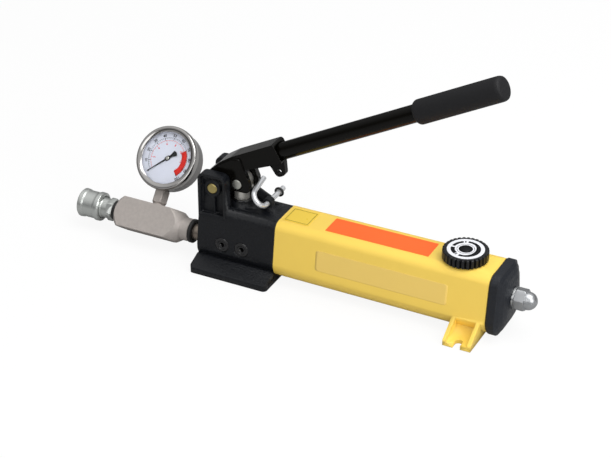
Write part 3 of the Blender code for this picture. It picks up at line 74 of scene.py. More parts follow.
# %% Camera
frame_pixels = 611.0
focal_pixels = 2000.0
sensor_width = 36.0
camera_tilt = math.radians(59.0)
camera_heading = math.radians(26.7)
camera_data = bpy.data.cameras.new("product_camera")
camera_data.sensor_fit = 'HORIZONTAL'
camera_data.sensor_width = sensor_width
camera_data.lens = focal_pixels / frame_pixels * sensor_width
camera_data.clip_start = 0.05
camera_data.clip_end = 50.0
camera = bpy.data.objects.new("product_camera", camera_data)
camera.location = (0.7990, -1.4643, 1.0376)
camera.rotation_euler = (camera_tilt, 0.0, camera_heading)
scene.collection.objects.link(camera)
scene.camera = camera
print("lens", round(camera_data.lens, 1), "mm")

# %% [markdown]
# ## The studio
#
# The pump stands on a white sweep. A wide, flat piece of floor catches a
# faint shadow. To the camera it also glows, so that it burns out to white as
# a lit paper sweep does, while the undersides of the pump see a darker floor
# and keep their shade.

# %% Floor
floor_reach = 6.0
floor_level = -0.0005
floor_mesh = bmesh.new()
bmesh.ops.create_grid(floor_mesh, x_segments=1, y_segments=1,
                      size=floor_reach,
                      matrix=Matrix.Translation((0, 0, floor_level)))
floor_data = bpy.data.meshes.new("paper_floor")
floor_mesh.to_mesh(floor_data)
floor_mesh.free()
floor = bpy.data.objects.new("paper_floor", floor_data)
scene.collection.objects.link(floor)

# %% White paper
paper_shade = 0.42
glow_strength = 1.12
glow_share = 0.80
paper = bpy.data.materials.new("white_paper")
paper.use_nodes = True
tree = paper.node_tree
sheet = tree.nodes["Principled BSDF"]
sheet.inputs["Base Color"].default_value = (
    paper_shade, paper_shade, paper_shade, 1.0)
sheet.inputs["Roughness"].default_value = 0.9
glow = tree.nodes.new("ShaderNodeEmission")
glow.inputs["Strength"].default_value = glow_strength
rays = tree.nodes.new("ShaderNodeLightPath")
seen = tree.nodes.new("ShaderNodeMath")
seen.operation = 'MULTIPLY'
seen.inputs[1].default_value = glow_share
blend = tree.nodes.new("ShaderNodeMixShader")
tree.links.new(rays.outputs["Is Camera Ray"], seen.inputs[0])
tree.links.new(seen.outputs[0], blend.inputs[0])
tree.links.new(sheet.outputs[0], blend.inputs[1])
tree.links.new(glow.outputs[0], blend.inputs[2])
tree.links.new(blend.outputs[0],
               tree.nodes["Material Output"].inputs["Surface"])
floor_data.materials.append(paper)
print("paper nodes", len(tree.nodes))

# %% [markdown]
# The world outside the lamps is white to the camera. Metal needs something
# to mirror, and a perfectly even white room would make it look like plaster,
# so the reflections see a grey room with a dark belt just above the horizon.
# The light that falls on the pump from the world is a third, even value.

# %% World
fill_strength = 0.52
room_shades = ((0.0, 0.70), (0.47, 0.50), (0.52, 0.10), (0.62, 0.14),
               (0.74, 0.50), (1.0, 0.60))
room_blue = 1.01
world = bpy.data.worlds.new("studio_world")
world.use_nodes = True
scene.world = world
tree = world.node_tree
tree.nodes.clear()
out = tree.nodes.new("ShaderNodeOutputWorld")
rays = tree.nodes.new("ShaderNodeLightPath")
white = tree.nodes.new("ShaderNodeBackground")
fill = tree.nodes.new("ShaderNodeBackground")
for background, strength in ((white, 1.0), (fill, fill_strength)):
    background.inputs["Color"].default_value = (1.0, 1.0, 1.0, 1.0)
    background.inputs["Strength"].default_value = strength
room = tree.nodes.new("ShaderNodeBackground")
way = tree.nodes.new("ShaderNodeTexCoord")
split = tree.nodes.new("ShaderNodeSeparateXYZ")
ramp = tree.nodes.new("ShaderNodeValToRGB")
height = tree.nodes.new("ShaderNodeMapRange")
height.inputs["From Min"].default_value = -1.0
for level, shade in room_shades:
    if level in (0.0, 1.0):
        stop = ramp.color_ramp.elements[int(level)]
    else:
        stop = ramp.color_ramp.elements.new(level)
    stop.color = (shade, shade, shade * room_blue, 1.0)
mirrored = tree.nodes.new("ShaderNodeMath")
mirrored.operation = 'MAXIMUM'
indirect = tree.nodes.new("ShaderNodeMixShader")
whole = tree.nodes.new("ShaderNodeMixShader")
tree.links.new(way.outputs["Generated"], split.inputs[0])
tree.links.new(split.outputs["Z"], height.inputs["Value"])
tree.links.new(height.outputs[0], ramp.inputs[0])
tree.links.new(ramp.outputs["Color"], room.inputs["Color"])
tree.links.new(rays.outputs["Is Glossy Ray"], mirrored.inputs[0])
tree.links.new(rays.outputs["Is Transmission Ray"], mirrored.inputs[1])
tree.links.new(mirrored.outputs[0], indirect.inputs[0])
tree.links.new(fill.outputs[0], indirect.inputs[1])
tree.links.new(room.outputs[0], indirect.inputs[2])
tree.links.new(rays.outputs["Is Camera Ray"], whole.inputs[0])
tree.links.new(indirect.outputs[0], whole.inputs[1])
tree.links.new(white.outputs[0], whole.inputs[2])
tree.links.new(whole.outputs[0], out.inputs["Surface"])
scene.view_settings.view_transform = 'Standard'
print("world nodes", len(tree.nodes))

# %% [markdown]
# Three large soft lamps do the rest: one high up and a little past the end
# cap, a weaker one over the near side, and one far out past the end cap,
# which brightens the faces that are turned that way.


# %% Lamps
def softbox(name, place, target, width, watts):
    """Square area lamp at a place, facing a target."""
    lamp = bpy.data.lights.new(name, 'AREA')
    lamp.shape = 'SQUARE'
    lamp.size = width
    lamp.energy = watts
    box = bpy.data.objects.new(name, lamp)
    box.location = place
    aim = Vector(target) - Vector(place)
    box.rotation_euler = aim.to_track_quat('-Z', 'Y').to_euler()
    scene.collection.objects.link(box)
    print(name, watts, "W")


aimed_at = (0.05, 0.0, 0.05)
aimed_higher = (0.05, 0.0, 0.08)
softbox("lamp_above", (0.62, 0.02, 1.62), aimed_at, 1.3, 21.0)
softbox("lamp_front", (0.20, -1.70, 1.05), aimed_higher, 1.0, 6.0)
softbox("lamp_side", (1.60, -0.60, 0.80), aimed_at, 0.9, 13.0)

# %% [markdown]
# ## Finishes
#
# A surface is more than a colour. Each finish here has a base colour that
# drifts slightly, a roughness that varies in patches, and a fine relief that
# only shows where light grazes it. One builder makes them all from the
# object's own coordinates in metres, so a grain of half a millimetre is half
# a millimetre on every piece.
#
# The Bevel node looks round each corner and bends the shading there by a
# fraction of a millimetre. It gives cast and painted edges the thin bright
# line that a real, slightly rounded edge has.
#
# Colours are written as levels from 0 to 255, as a paint program shows them.
# A shader works with linear light, so each level goes through the standard
# screen curve first.


# %% Screen colours
def linear(level):
    """One 0 to 255 screen level as linear light."""
    share = level / 255.0
    if share <= 0.04045:
        return share / 12.92
    return ((share + 0.055) / 1.055) ** 2.4


def ink(red, green, blue):
    """Screen colour as a shader colour."""
    return tuple(linear(level) for level in (red, green, blue)) + (1.0,)


print("middle grey is", round(linear(128), 3), "in linear light")

# %% Finish builder
grain_detail = 4.0
patch_detail = 3.0
noise_low, noise_high = 0.3, 0.7
smoothest = 0.02
bevel_samples = 4


def noise(tree, coords, size, detail, squeeze=(1.0, 1.0, 1.0)):
    """Noise whose grains are about size metres, squeezed per axis."""
    place = tree.nodes.new("ShaderNodeMapping")
    place.inputs["Scale"].default_value = squeeze
    grain = tree.nodes.new("ShaderNodeTexNoise")
    grain.inputs["Scale"].default_value = 1.0 / size
    grain.inputs["Detail"].default_value = detail
    tree.links.new(coords.outputs["Object"], place.inputs["Vector"])
    tree.links.new(place.outputs[0], grain.inputs["Vector"])
    return grain


def finish(name, colour, metallic, roughness, spread, grain, depth,
           drift=0.06, patch=0.02, squeeze=(1.0, 1.0, 1.0), edge=0.0004,
           shine=0.5):
    """Material with drifting colour, patchy roughness and fine relief."""
    mat = bpy.data.materials.new(name)
    mat.use_nodes = True
    tree = mat.node_tree
    skin = tree.nodes["Principled BSDF"]
    coords = tree.nodes.new("ShaderNodeTexCoord")
    fine = noise(tree, coords, grain, grain_detail, squeeze)
    wide = noise(tree, coords, patch, patch_detail)
    dark = [channel * (1.0 - drift) for channel in colour[:3]] + [1.0]
    light = [min(1.0, channel * (1.0 + drift))
             for channel in colour[:3]] + [1.0]
    tint = tree.nodes.new("ShaderNodeMix")
    tint.data_type = 'RGBA'
    tint.inputs["A"].default_value = dark
    tint.inputs["B"].default_value = light
    gloss = tree.nodes.new("ShaderNodeMapRange")
    gloss.inputs["From Min"].default_value = noise_low
    gloss.inputs["From Max"].default_value = noise_high
    gloss.inputs["To Min"].default_value = max(smoothest, roughness - spread)
    gloss.inputs["To Max"].default_value = min(1.0, roughness + spread)
    bump = tree.nodes.new("ShaderNodeBump")
    bump.inputs["Distance"].default_value = depth
    bump.inputs["Strength"].default_value = 1.0
    tree.links.new(wide.outputs["Fac"], tint.inputs["Factor"])
    tree.links.new(tint.outputs["Result"], skin.inputs["Base Color"])
    tree.links.new(wide.outputs["Fac"], gloss.inputs["Value"])
    tree.links.new(gloss.outputs[0], skin.inputs["Roughness"])
    tree.links.new(fine.outputs["Fac"], bump.inputs["Height"])
    if edge:
        corner = tree.nodes.new("ShaderNodeBevel")
        corner.samples = bevel_samples
        corner.inputs["Radius"].default_value = edge
        tree.links.new(corner.outputs[0], bump.inputs["Normal"])
    tree.links.new(bump.outputs[0], skin.inputs["Normal"])
    skin.inputs["Metallic"].default_value = metallic
    skin.inputs["Specular IOR Level"].default_value = shine
    return mat


print("grain detail", grain_detail, "patch detail", patch_detail)

# %% [markdown]
# The body is cast metal under a thick black coat with a pebbled skin, about
# as coarse as fine sandpaper. The lever's paint is smooth, glossy and a
# little warm, and the tank's yellow paint is satin with a faint orange peel.

# %% Paints and plastics
body_skin = finish("pebbled_black", ink(13, 15, 19), 0.0, 0.36, 0.10,
                   grain=0.0017, depth=0.00046, drift=0.62, patch=0.0017,
                   edge=0.0009, shine=0.28)
lever_gloss = finish("gloss_black_paint", ink(7, 6, 4), 0.0, 0.18, 0.04,
                     grain=0.0030, depth=0.00003, edge=0.0014, shine=0.15)
tank_paint = finish("satin_yellow_paint", ink(238, 203, 90), 0.0, 0.40, 0.06,
                    grain=0.0022, depth=0.00004, drift=0.03, edge=0.0008,
                    shine=0.42)
cap_skin = finish("grey_end_cap_skin", ink(23, 26, 32), 0.0, 0.42, 0.08,
                  grain=0.0018, depth=0.00036, drift=0.45, patch=0.0022,
                  edge=0.0007, shine=0.32)
knob_plastic = finish("black_knob_plastic", ink(13, 14, 17), 0.0, 0.34, 0.05,
                      grain=0.0007, depth=0.00003, edge=0.0003, shine=0.34)
plug_black = finish("blacked_steel", ink(15, 15, 17), 0.0, 0.24, 0.05,
                    grain=0.0008, depth=0.00002, edge=0.0006, shine=0.5)
print(body_skin.name, lever_gloss.name, tank_paint.name, cap_skin.name)

# %% [markdown]
# The metals differ in how they were finished. Turned zinc has fine rings
# round its axis, so its noise is squeezed along the axis and stretched
# across it, and ground steel has fine lines across its length. The adapter
# block was tumbled or blasted, which leaves a matte skin with cloudy
# patches. The gauge's rim is polished almost to a mirror.

# %% Metals
zinc_rings = finish("turned_zinc", ink(192, 195, 192), 0.85, 0.33, 0.05,
                    grain=0.0060, depth=0.0000015, squeeze=(12.0, 0.4, 0.4),
                    edge=0.0003, drift=0.04)
dull_steel = finish("dull_steel", ink(136, 126, 116), 0.9, 0.36, 0.05,
                    grain=0.0020, depth=0.00001, edge=0.0003, drift=0.06)
plated_wire = finish("plated_wire", ink(222, 224, 227), 0.60, 0.28, 0.04,
                     grain=0.0020, depth=0.00001, edge=0.0004, drift=0.03)
zinc_plain = finish("bright_zinc", ink(186, 188, 189), 1.0, 0.27, 0.05,
                    grain=0.0020, depth=0.00001, edge=0.0005, drift=0.04)
nut_zinc = finish("satin_zinc", ink(166, 168, 170), 0.9, 0.36, 0.05,
                  grain=0.0016, depth=0.00003, edge=0.0005, drift=0.05)
yellow_zinc = finish("yellow_zinc", ink(176, 160, 104), 1.0, 0.34, 0.06,
                     grain=0.0012, depth=0.00002, edge=0.0004, drift=0.12,
                     patch=0.004)
pin_steel = finish("silver_pin_steel", ink(186, 186, 178), 1.0, 0.34, 0.06,
                   grain=0.0012, depth=0.00002, edge=0.0004, drift=0.08,
                   patch=0.004)
blasted_grey = finish("blasted_grey_steel", ink(174, 167, 162), 0.50, 0.54,
                      0.05, grain=0.0006, depth=0.00008, edge=0.0006,
                      drift=0.16, patch=0.0026)
ground_steel = finish("ground_steel", ink(196, 194, 188), 0.75, 0.34, 0.05,
                      grain=0.0030, depth=0.00001, squeeze=(0.5, 0.5, 8.0),
                      edge=0.0003)
polished = finish("polished_stainless", ink(174, 172, 170), 1.0, 0.11, 0.03,
                  grain=0.0060, depth=0.000003, edge=0.0004, drift=0.03)
drum_steel = finish("brushed_drum", ink(138, 136, 135), 1.0, 0.26, 0.05,
                    grain=0.0030, depth=0.00001, edge=0.0004, drift=0.05)
brass = finish("plain_brass", ink(190, 155, 84), 1.0, 0.30, 0.05,
               grain=0.0015, depth=0.00002, edge=0.0003)
print(zinc_rings.name, blasted_grey.name, polished.name)

# %% [markdown]
# Rubber is nearly black, very rough and finely grained. Printed faces are
# flat inks: the dial's pale blue-white, its black and red marks, and the
# plain stickers on the tank. The gauge's window is see-through, with a mirror
# film that shows more at a grazing angle, but never hides the dial.

# %% Rubber and inks
grip_rubber = finish("grip_rubber", ink(21, 21, 23), 0.0, 0.66, 0.06,
                     grain=0.0010, depth=0.00007, edge=0.0010, shine=0.28)
seal_rubber = finish("seal_rubber", ink(22, 22, 22), 0.0, 0.50, 0.05,
                     grain=0.0006, depth=0.00003, edge=0.0003)
dial_paper = finish("dial_face", ink(223, 227, 240), 0.0, 0.45, 0.04,
                    grain=0.0008, depth=0.00001, drift=0.02, edge=0.0)
black_ink = finish("black_ink", ink(16, 17, 20), 0.0, 0.45, 0.04,
                   grain=0.0008, depth=0.00001, edge=0.0, shine=0.15)
red_ink = finish("red_ink", ink(232, 30, 10), 0.0, 0.45, 0.04,
                 grain=0.0008, depth=0.00001, edge=0.0, shine=0.15)
orange_sticker = finish("orange_sticker", ink(250, 100, 25), 0.0, 0.34, 0.05,
                        grain=0.0030, depth=0.00001, drift=0.03, edge=0.0)
yellow_sticker = finish("yellow_sticker", ink(230, 196, 64), 0.0, 0.30, 0.05,
                        grain=0.0030, depth=0.00001, drift=0.02, edge=0.0)
clear_sticker = finish("clear_film", ink(232, 198, 103), 0.0, 0.22, 0.04,
                       grain=0.0030, depth=0.00001, drift=0.02, edge=0.0)
disc_silver = finish("disc_silver", ink(232, 233, 238), 0.15, 0.34, 0.05,
                     grain=0.0010, depth=0.00002, edge=0.0)
print(grip_rubber.name, dial_paper.name, disc_silver.name)

# %% Gauge window
film_index = 1.28
film_most = 0.35
window = finish("gauge_window", ink(250, 252, 255), 1.0, 0.03, 0.01,
                grain=0.0100, depth=0.000002, drift=0.0, edge=0.0)
tree = window.node_tree
film = tree.nodes.new("ShaderNodeFresnel")
film.inputs["IOR"].default_value = film_index
limit = tree.nodes.new("ShaderNodeMath")
limit.operation = 'MINIMUM'
limit.inputs[1].default_value = film_most
tree.links.new(film.outputs[0], limit.inputs[0])
tree.links.new(limit.outputs[0],
               tree.nodes["Principled BSDF"].inputs["Alpha"])
print(window.name, "hides at most", film_most, "of the dial")

# %% [markdown]
# ## Two ways to make a piece
#
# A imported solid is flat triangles. Where its shape is right, a copy with
# shared corners and smooth shading is enough: *refined* does that and lets
# the copy stand for the solid. A *weighted normal* keeps large flats flat
# beside small fillets.
#
# A round piece with its own profile is turned again instead, with more
# facets than the solid has: *turned* sweeps an outline round an axis, as a
# lathe would, after rounding the outline's corners. Its rings are made point
# by point, because bmesh's own spin lists its faces in another order on each
# run, and a trimmed copy can then come out with other small triangles.


# %% Adding a finished mesh
weld = 0.000002
smooth_angle = 32.0
flat_angle = math.radians(0.4)


def add_piece(name, shape, material, node, replaces=True,
              crease=smooth_angle):
    """Turns a bmesh into a piece that rides on its solid's body."""
    mesh = bpy.data.meshes.new(name)
    shape.to_mesh(mesh)
    shape.free()
    for face in mesh.polygons:
        face.use_smooth = True
    mesh.set_sharp_from_angle(angle=math.radians(crease))
    mesh.materials.append(material)
    piece = bpy.data.objects.new(name, mesh)
    scene.collection.objects.link(piece)
    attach(piece, owner[node])
    if replaces:
        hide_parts(node)
    return piece


def merged(node):
    """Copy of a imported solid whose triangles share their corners."""
    shape = bmesh.new()
    shape.from_mesh(frame["nodes"][node].data)
    bmesh.ops.remove_doubles(shape, verts=shape.verts, dist=weld)
    return shape


def refined(name, node, material, crease=smooth_angle, weighted=True,
            shape=None):
    """Smooth-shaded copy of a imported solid, or a shape made from it."""
    shape = shape or merged(node)
    bmesh.ops.dissolve_limit(shape, angle_limit=flat_angle,
                             verts=shape.verts, edges=shape.edges)
    bmesh.ops.triangulate(shape, faces=[face for face in shape.faces
                                        if len(face.verts) > 4])
    piece = add_piece(name, shape, material, node, crease=crease)
    if weighted:
        even = piece.modifiers.new("even_shading", 'WEIGHTED_NORMAL')
        even.keep_sharp = True
    print(name, len(piece.data.polygons), "faces")


print("smooth across edges under", smooth_angle, "degrees")

# %% Turning a piece
round_steps = 96
corner_points = 4
corner_reach = 0.45


def rounded(profile, radius, closed):
    """Outline whose corners are each replaced by a small curve."""
    last = len(profile) - 1
    points = [Vector(point) for point in profile]
    result = []
    for i, corner in enumerate(points):
        at_end = not closed and i in (0, last)
        if at_end or radius == 0.0:
            result.append(corner)
            continue
        before = points[i - 1] - corner
        after = points[(i + 1) % len(points)] - corner
        reach = min(radius, before.length * corner_reach,
                    after.length * corner_reach)
        before.normalize()
        after.normalize()
        for k in range(corner_points):
            share = k / (corner_points - 1.0)
            result.append(corner + before * reach * (1.0 - share) ** 2
                          + after * reach * share ** 2)
    return result


def spun(profile, spot, axis, steps=round_steps, closed=False):
    """Shape swept by (radius, height) points, turned round an axis."""
    shape = bmesh.new()
    spot = Vector(spot)
    turn = Vector(axis).to_track_quat('Z', 'Y').to_matrix()
    rings = []
    for radius, height in profile:
        count = steps if radius > 0.0 else 1
        angles = [2.0 * math.pi * k / count for k in range(count)]
        rings.append([shape.verts.new(spot + turn @ Vector(
            (radius * math.cos(angle), radius * math.sin(angle), height)))
            for angle in angles])
    pairs = list(zip(rings, rings[1:]))
    if closed:
        pairs.append((rings[-1], rings[0]))
    for one, other in pairs:
        for k in range(steps):
            corners = [ring[step % len(ring)] for ring, step in (
                (one, k), (one, k + 1), (other, k + 1), (other, k))]
            shape.faces.new(list(dict.fromkeys(corners)))
    bmesh.ops.recalc_face_normals(shape, faces=shape.faces)
    return shape


def turned(name, profile, spot, axis, material, node, radius=0.0004,
           steps=round_steps, closed=False, replaces=True):
    """Piece turned from an outline whose corners are rounded first."""
    shape = spun(rounded(profile, radius, closed), spot, axis, steps, closed)
    piece = add_piece(name, shape, material, node, replaces)
    print(name, len(piece.data.polygons), "faces")


print("a full turn has", round_steps, "steps")

# %% [markdown]
# Some copies need a little more taken off: rounded foot corners, or the cone
# that a lathe leaves on the end of a square bar. A *boolean* modifier trims
# the copy with a second shape. The result is read back as a plain mesh, so
# nothing of the second shape stays in the scene.


# %% Trimming a copy
def trimmed(node, tool, operation):
    """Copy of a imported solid, less a tool shape or kept inside it."""
    holders = []
    for name, shape in (("work", merged(node)), ("tool", tool)):
        mesh = bpy.data.meshes.new(name)
        shape.to_mesh(mesh)
        shape.free()
        holders.append(bpy.data.objects.new(name, mesh))
        scene.collection.objects.link(holders[-1])
    work, cutter = holders
    trim = work.modifiers.new("trim", 'BOOLEAN')
    trim.operation = operation
    trim.solver = 'EXACT'
    trim.object = cutter
    graph = bpy.context.evaluated_depsgraph_get()
    result = bpy.data.meshes.new_from_object(work.evaluated_get(graph))
    shape = bmesh.new()
    shape.from_mesh(result)
    bpy.data.meshes.remove(result)
    for holder in holders:
        mesh = holder.data
        bpy.data.objects.remove(holder)
        bpy.data.meshes.remove(mesh)
    bmesh.ops.remove_doubles(shape, verts=shape.verts, dist=weld)
    print(node, "trimmed to", len(shape.faces), "faces")
    return shape


print("points closer than", weld, "m are merged")

# %% [markdown]
# ## Cast, moulded and machined pieces
#
# The body, the tank, the end cap and the lever have pockets, ribs and holes,
# so copies of their solids are refined. The front foot's four corners are
# rounded first, with small prisms whose inner side is a quarter circle.

# %% Foot corners
low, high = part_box("pump_body")
foot_x, foot_y = -low[0], high[1]
foot_round = 0.0042
arc_steps = 10
spare = 0.002
prism_low = -0.001
prism_height = 0.012
outline = []
for k in range(arc_steps + 1):
    turn = math.pi / 2.0 * k / arc_steps
    outline.append((foot_x - foot_round * (1.0 - math.cos(turn)),
                    foot_y - foot_round * (1.0 - math.sin(turn))))
outline += [(foot_x - foot_round, foot_y + spare),
            (foot_x + spare, foot_y + spare),
            (foot_x + spare, foot_y - foot_round)]
corners = bmesh.new()
for side_x, side_y in ((-1, -1), (-1, 1), (1, -1), (1, 1)):
    lower, upper = [[corners.verts.new((side_x * x, side_y * y, level))
                     for x, y in outline]
                    for level in (prism_low, prism_low + prism_height)]
    for k in range(len(outline)):
        corners.faces.new((lower[k - 1], lower[k], upper[k], upper[k - 1]))
    corners.faces.new(lower)
    corners.faces.new(upper)
bmesh.ops.recalc_face_normals(corners, faces=corners.faces)
body_shape = trimmed("pump_body", corners, 'DIFFERENCE')

# %% Refined pieces
fine_crease = 14.0
nut_crease = 18.0
wire_crease = 50.0
refined("body_casting", "pump_body", body_skin, shape=body_shape)
refined("tank_shell", "tank", tank_paint)
refined("end_cap_cover", "end_cap", cap_skin)
refined("lever_casting", "lever_beam", lever_gloss)
refined("gauge_drum", "gauge_case", drum_steel)
refined("dome_nut", "cap_nut", nut_zinc, crease=nut_crease)
refined("dome_nut_washer", "nut_washer", zinc_plain)
refined("coupler_tail", "coupler_body", zinc_rings)
refined("nipple", "outlet_nipple", dull_steel)
refined("nipple_seal", "outlet_ring", seal_rubber)
refined("coupler_seal", "coupler_ring", seal_rubber)
refined("release_grip", "release_knob", knob_plastic)
refined("front_plug", "front_valve_plug", plug_black)
refined("rear_plug", "rear_valve_plug", plug_black)
refined("piston_rod", "piston", ground_steel)
refined("gland_ring", "gland_nut", plug_black)
refined("bent_pin", "lock_pin", plated_wire, crease=wire_crease)
refined("needle", "gauge_pointer", black_ink, weighted=False)

# %% [markdown]
# The filler cap's teeth are cut deeper than the solid's: every point that
# lies on the bottom of a gap is drawn in towards the cap's axis.

# %% Filler cap
cap_shape = merged("vent_cap")
low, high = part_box("vent_cap")
cap_spot = Vector(((low[0] + high[0]) / 2.0, (low[1] + high[1]) / 2.0, 0.0))
tip_radius = (high[0] - low[0]) / 2.0
gap_depth = 0.0022
found_most, found_least = tip_radius - 0.0009, tip_radius - 0.0024
moved = 0
for vertex in cap_shape.verts:
    reach = Vector((vertex.co.x - cap_spot.x, vertex.co.y - cap_spot.y, 0.0))
    if found_least < reach.length < found_most:
        vertex.co += reach.normalized() * (tip_radius - gap_depth
                                           - reach.length)
        moved += 1
print(moved, "points drawn in")
refined("filler_cap", "vent_cap", knob_plastic, crease=fine_crease,
        weighted=False, shape=cap_shape)

# %% [markdown]
# Each valve plug on the near side has a broad round head that fills its
# turned seat. The head's chamfered edge catches a thin line of light.

# %% Heads of the valve plugs
head_radius = 0.0076
socket_radius = 0.0023
dish_radius = 0.0048
head_back, dish_level, head_face = 0.0001, 0.0008, 0.0013
chamfer = 0.0006
small_round = 0.0002
small_steps = 64
head_profile = [
    (socket_radius, head_back), (head_radius, head_back),
    (head_radius, dish_level), (head_radius - chamfer, head_face),
    (dish_radius, head_face), (dish_radius - chamfer, dish_level),
    (socket_radius + 0.0004, dish_level),
    (socket_radius, dish_level - 0.0003)]
for node in ("front_valve_plug", "rear_valve_plug"):
    low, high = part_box(node)
    head_spot = ((low[0] + high[0]) / 2.0, low[1], (low[2] + high[2]) / 2.0)
    turned(node.replace("plug", "head"), head_profile, head_spot, (0, -1, 0),
           plug_black, node, radius=small_round, steps=small_steps,
           closed=True, replaces=False)

# %% [markdown]
# ## Round pieces along the outlet
#
# The outlet line runs along the X axis: nipple, adapter block, coupler. Its
# centre and each piece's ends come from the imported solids' boxes.


# %% Measuring a round solid
def along_x(node):
    """Front end, rear end, outer radius and axis point of an X solid."""
    low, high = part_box(node)
    return (low[0], high[0], (high[1] - low[1]) / 2.0,
            Vector((0.0, (low[1] + high[1]) / 2.0, (low[2] + high[2]) / 2.0)))


sleeve_front, sleeve_rear, sleeve_radius, line_spot = along_x("coupler_sleeve")
print("outlet axis at y", round(line_spot.y, 4), "z", round(line_spot.z, 4))

# %% [markdown]
# The adapter block is a square bar, rolled about the outlet's axis. A lathe
# has coned its rear end down to a round neck, so each flat side ends in an
# arc: the curve in which a cone meets a plane.

# %% Adapter block
block_front, block_rear, _, _ = along_x("gauge_adapter")
neck_radius = 0.0114
neck_start = block_rear - 0.0090
cone_radius, cone_step = 0.0127, 0.0003
clear_radius, cone_reach = 0.0220, 0.0152
front_radius, front_length = 0.0148, 0.0078
clear = 0.001
front_clear = 0.0001
block_form = spun([
    (0.0, block_rear + clear), (neck_radius, block_rear + clear),
    (neck_radius, neck_start), (cone_radius, neck_start - cone_step),
    (clear_radius, neck_start - cone_reach),
    (clear_radius, block_front + front_length),
    (front_radius, block_front - front_clear), (0.0, block_front - clear)],
    line_spot, (1, 0, 0))
refined("adapter_block", "gauge_adapter", blasted_grey, crease=fine_crease,
        shape=trimmed("gauge_adapter", block_form, 'INTERSECT'))

# %% [markdown]
# The coupler's sleeve slides back to let the hose go. It has a raised collar
# at each end and a shallow waist between them for the fingers.

# %% Coupler sleeve
bore_radius = 0.0115
waist = sleeve_radius - 0.0011
turned("coupler_slide", [
    (bore_radius + 0.0006, sleeve_rear),
    (sleeve_radius - 0.0016, sleeve_rear - 0.0002),
    (sleeve_radius - 0.0001, sleeve_rear - 0.0014),
    (sleeve_radius, sleeve_rear - 0.0054),
    (sleeve_radius - 0.0007, sleeve_rear - 0.0060),
    (waist, sleeve_rear - 0.0078), (waist, sleeve_front + 0.0064),
    (sleeve_radius - 0.0004, sleeve_front + 0.0048),
    (sleeve_radius - 0.0001, sleeve_front + 0.0012),
    (sleeve_radius - 0.0012, sleeve_front),
    (bore_radius + 0.0003, sleeve_front),
    (bore_radius, sleeve_front + 0.0006), (bore_radius, sleeve_rear)],
    line_spot, (1, 0, 0), zinc_rings, "coupler_sleeve", radius=0.0003,
    closed=True)

# %% [markdown]
# ## The gauge
#
# The dial faces up and towards the viewer. The pointer's joint gives its
# centre and the way it faces, and every height below is measured from there
# along that way. A place on the dial is then one flat matrix: right, up, out.


# %% Gauge directions
dial_spot = Vector(joint_of["pointer_turn"]["pos_m"])
dial_way = Vector(joint_of["pointer_turn"]["axis"]).normalized()
dial_right = Vector((1.0, 0.0, 0.0))
dial_up = dial_way.cross(dial_right)


def along_dial(node):
    """Lowest and highest point along the dial's axis, and the radius."""
    heights, radii = [], []
    for vertex in frame["nodes"][node].data.vertices:
        offset = vertex.co - dial_spot
        height = offset.dot(dial_way)
        heights.append(height)
        radii.append((offset - dial_way * height).length)
    return min(heights), max(heights), max(radii)


def dial_place(height):
    """Matrix from flat dial coordinates to the world at one height."""
    turn = Matrix((dial_right, dial_up, dial_way)).transposed().to_4x4()
    return Matrix.Translation(dial_spot + dial_way * height) @ turn


dial_top = along_dial("gauge_dial")[1]
print("dial faces", [round(v, 3) for v in dial_way])

# %% [markdown]
# The gauge's stem is a hexagon whose corners are turned off at both ends, so
# it is trimmed in the way of the adapter block. The hexagon's ends are found
# from the points that lie further from the axis than the stem's round parts.

# %% Stem hexagon
low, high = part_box("gauge_stem")
stem_spot = Vector(((low[0] + high[0]) / 2.0, line_spot.y, line_spot.z))
round_most = 0.0078
heights = []
for vertex in frame["nodes"]["gauge_stem"].data.vertices:
    offset = vertex.co - stem_spot
    height = offset.dot(dial_up)
    if (offset - dial_up * height).length > round_most:
        heights.append(height)
hex_low, hex_high = min(heights), max(heights)
hex_radius = 0.0083
low_radius, high_radius = 0.0067, 0.0070
past_end = 0.05
stem_form = spun([
    (0.0, hex_low - past_end), (low_radius, hex_low - past_end),
    (low_radius, hex_low), (hex_radius, hex_low + 0.0016),
    (hex_radius, hex_high - 0.0012), (high_radius, hex_high),
    (high_radius, hex_high + past_end), (0.0, hex_high + past_end)],
    stem_spot, dial_up)
refined("stem_hexagon", "gauge_stem", blasted_grey, crease=fine_crease,
        shape=trimmed("gauge_stem", stem_form, 'INTERSECT'))

# %% [markdown]
# The rim is rolled from thin sheet: a flat lip over the glass, a round
# shoulder, and a skirt over the drum with a turned-in edge. The pointer sits
# under a small bright cap.

# %% Rim
rim_back, rim_face, rim_radius = along_dial("gauge_bezel")
_, drum_face, drum_radius = along_dial("gauge_case")
lip_inner = rim_radius - 0.0062
skirt_inner = drum_radius + 0.0004
lip_back = drum_face + 0.0003
turned("rolled_rim", [
    (skirt_inner, rim_back), (rim_radius - 0.0006, rim_back),
    (rim_radius, rim_back + 0.0008), (rim_radius, rim_face - 0.0026),
    (rim_radius - 0.0005, rim_face - 0.0008),
    (rim_radius - 0.0018, rim_face),
    (rim_radius - 0.0034, rim_face - 0.0001),
    (lip_inner + 0.0012, rim_face - 0.0008),
    (lip_inner + 0.0002, rim_face - 0.0014),
    (lip_inner, lip_back), (skirt_inner, lip_back)],
    dial_spot, dial_way, polished, "gauge_bezel", radius=0.0009, steps=128,
    closed=True)

# %% Pointer cap
shaft_low, shaft_high, cap_radius = along_dial("pointer_shaft")
shaft_radius = 0.0013
cap_low = along_dial("gauge_pointer")[1] + 0.00005
turned("pointer_cap", [
    (0.0, shaft_low), (shaft_radius, shaft_low), (shaft_radius, cap_low),
    (cap_radius, cap_low), (cap_radius, shaft_high - 0.0003),
    (cap_radius - 0.0004, shaft_high), (0.0, shaft_high)],
    dial_spot, dial_way, pin_steel, "pointer_shaft", radius=0.00015, steps=48)

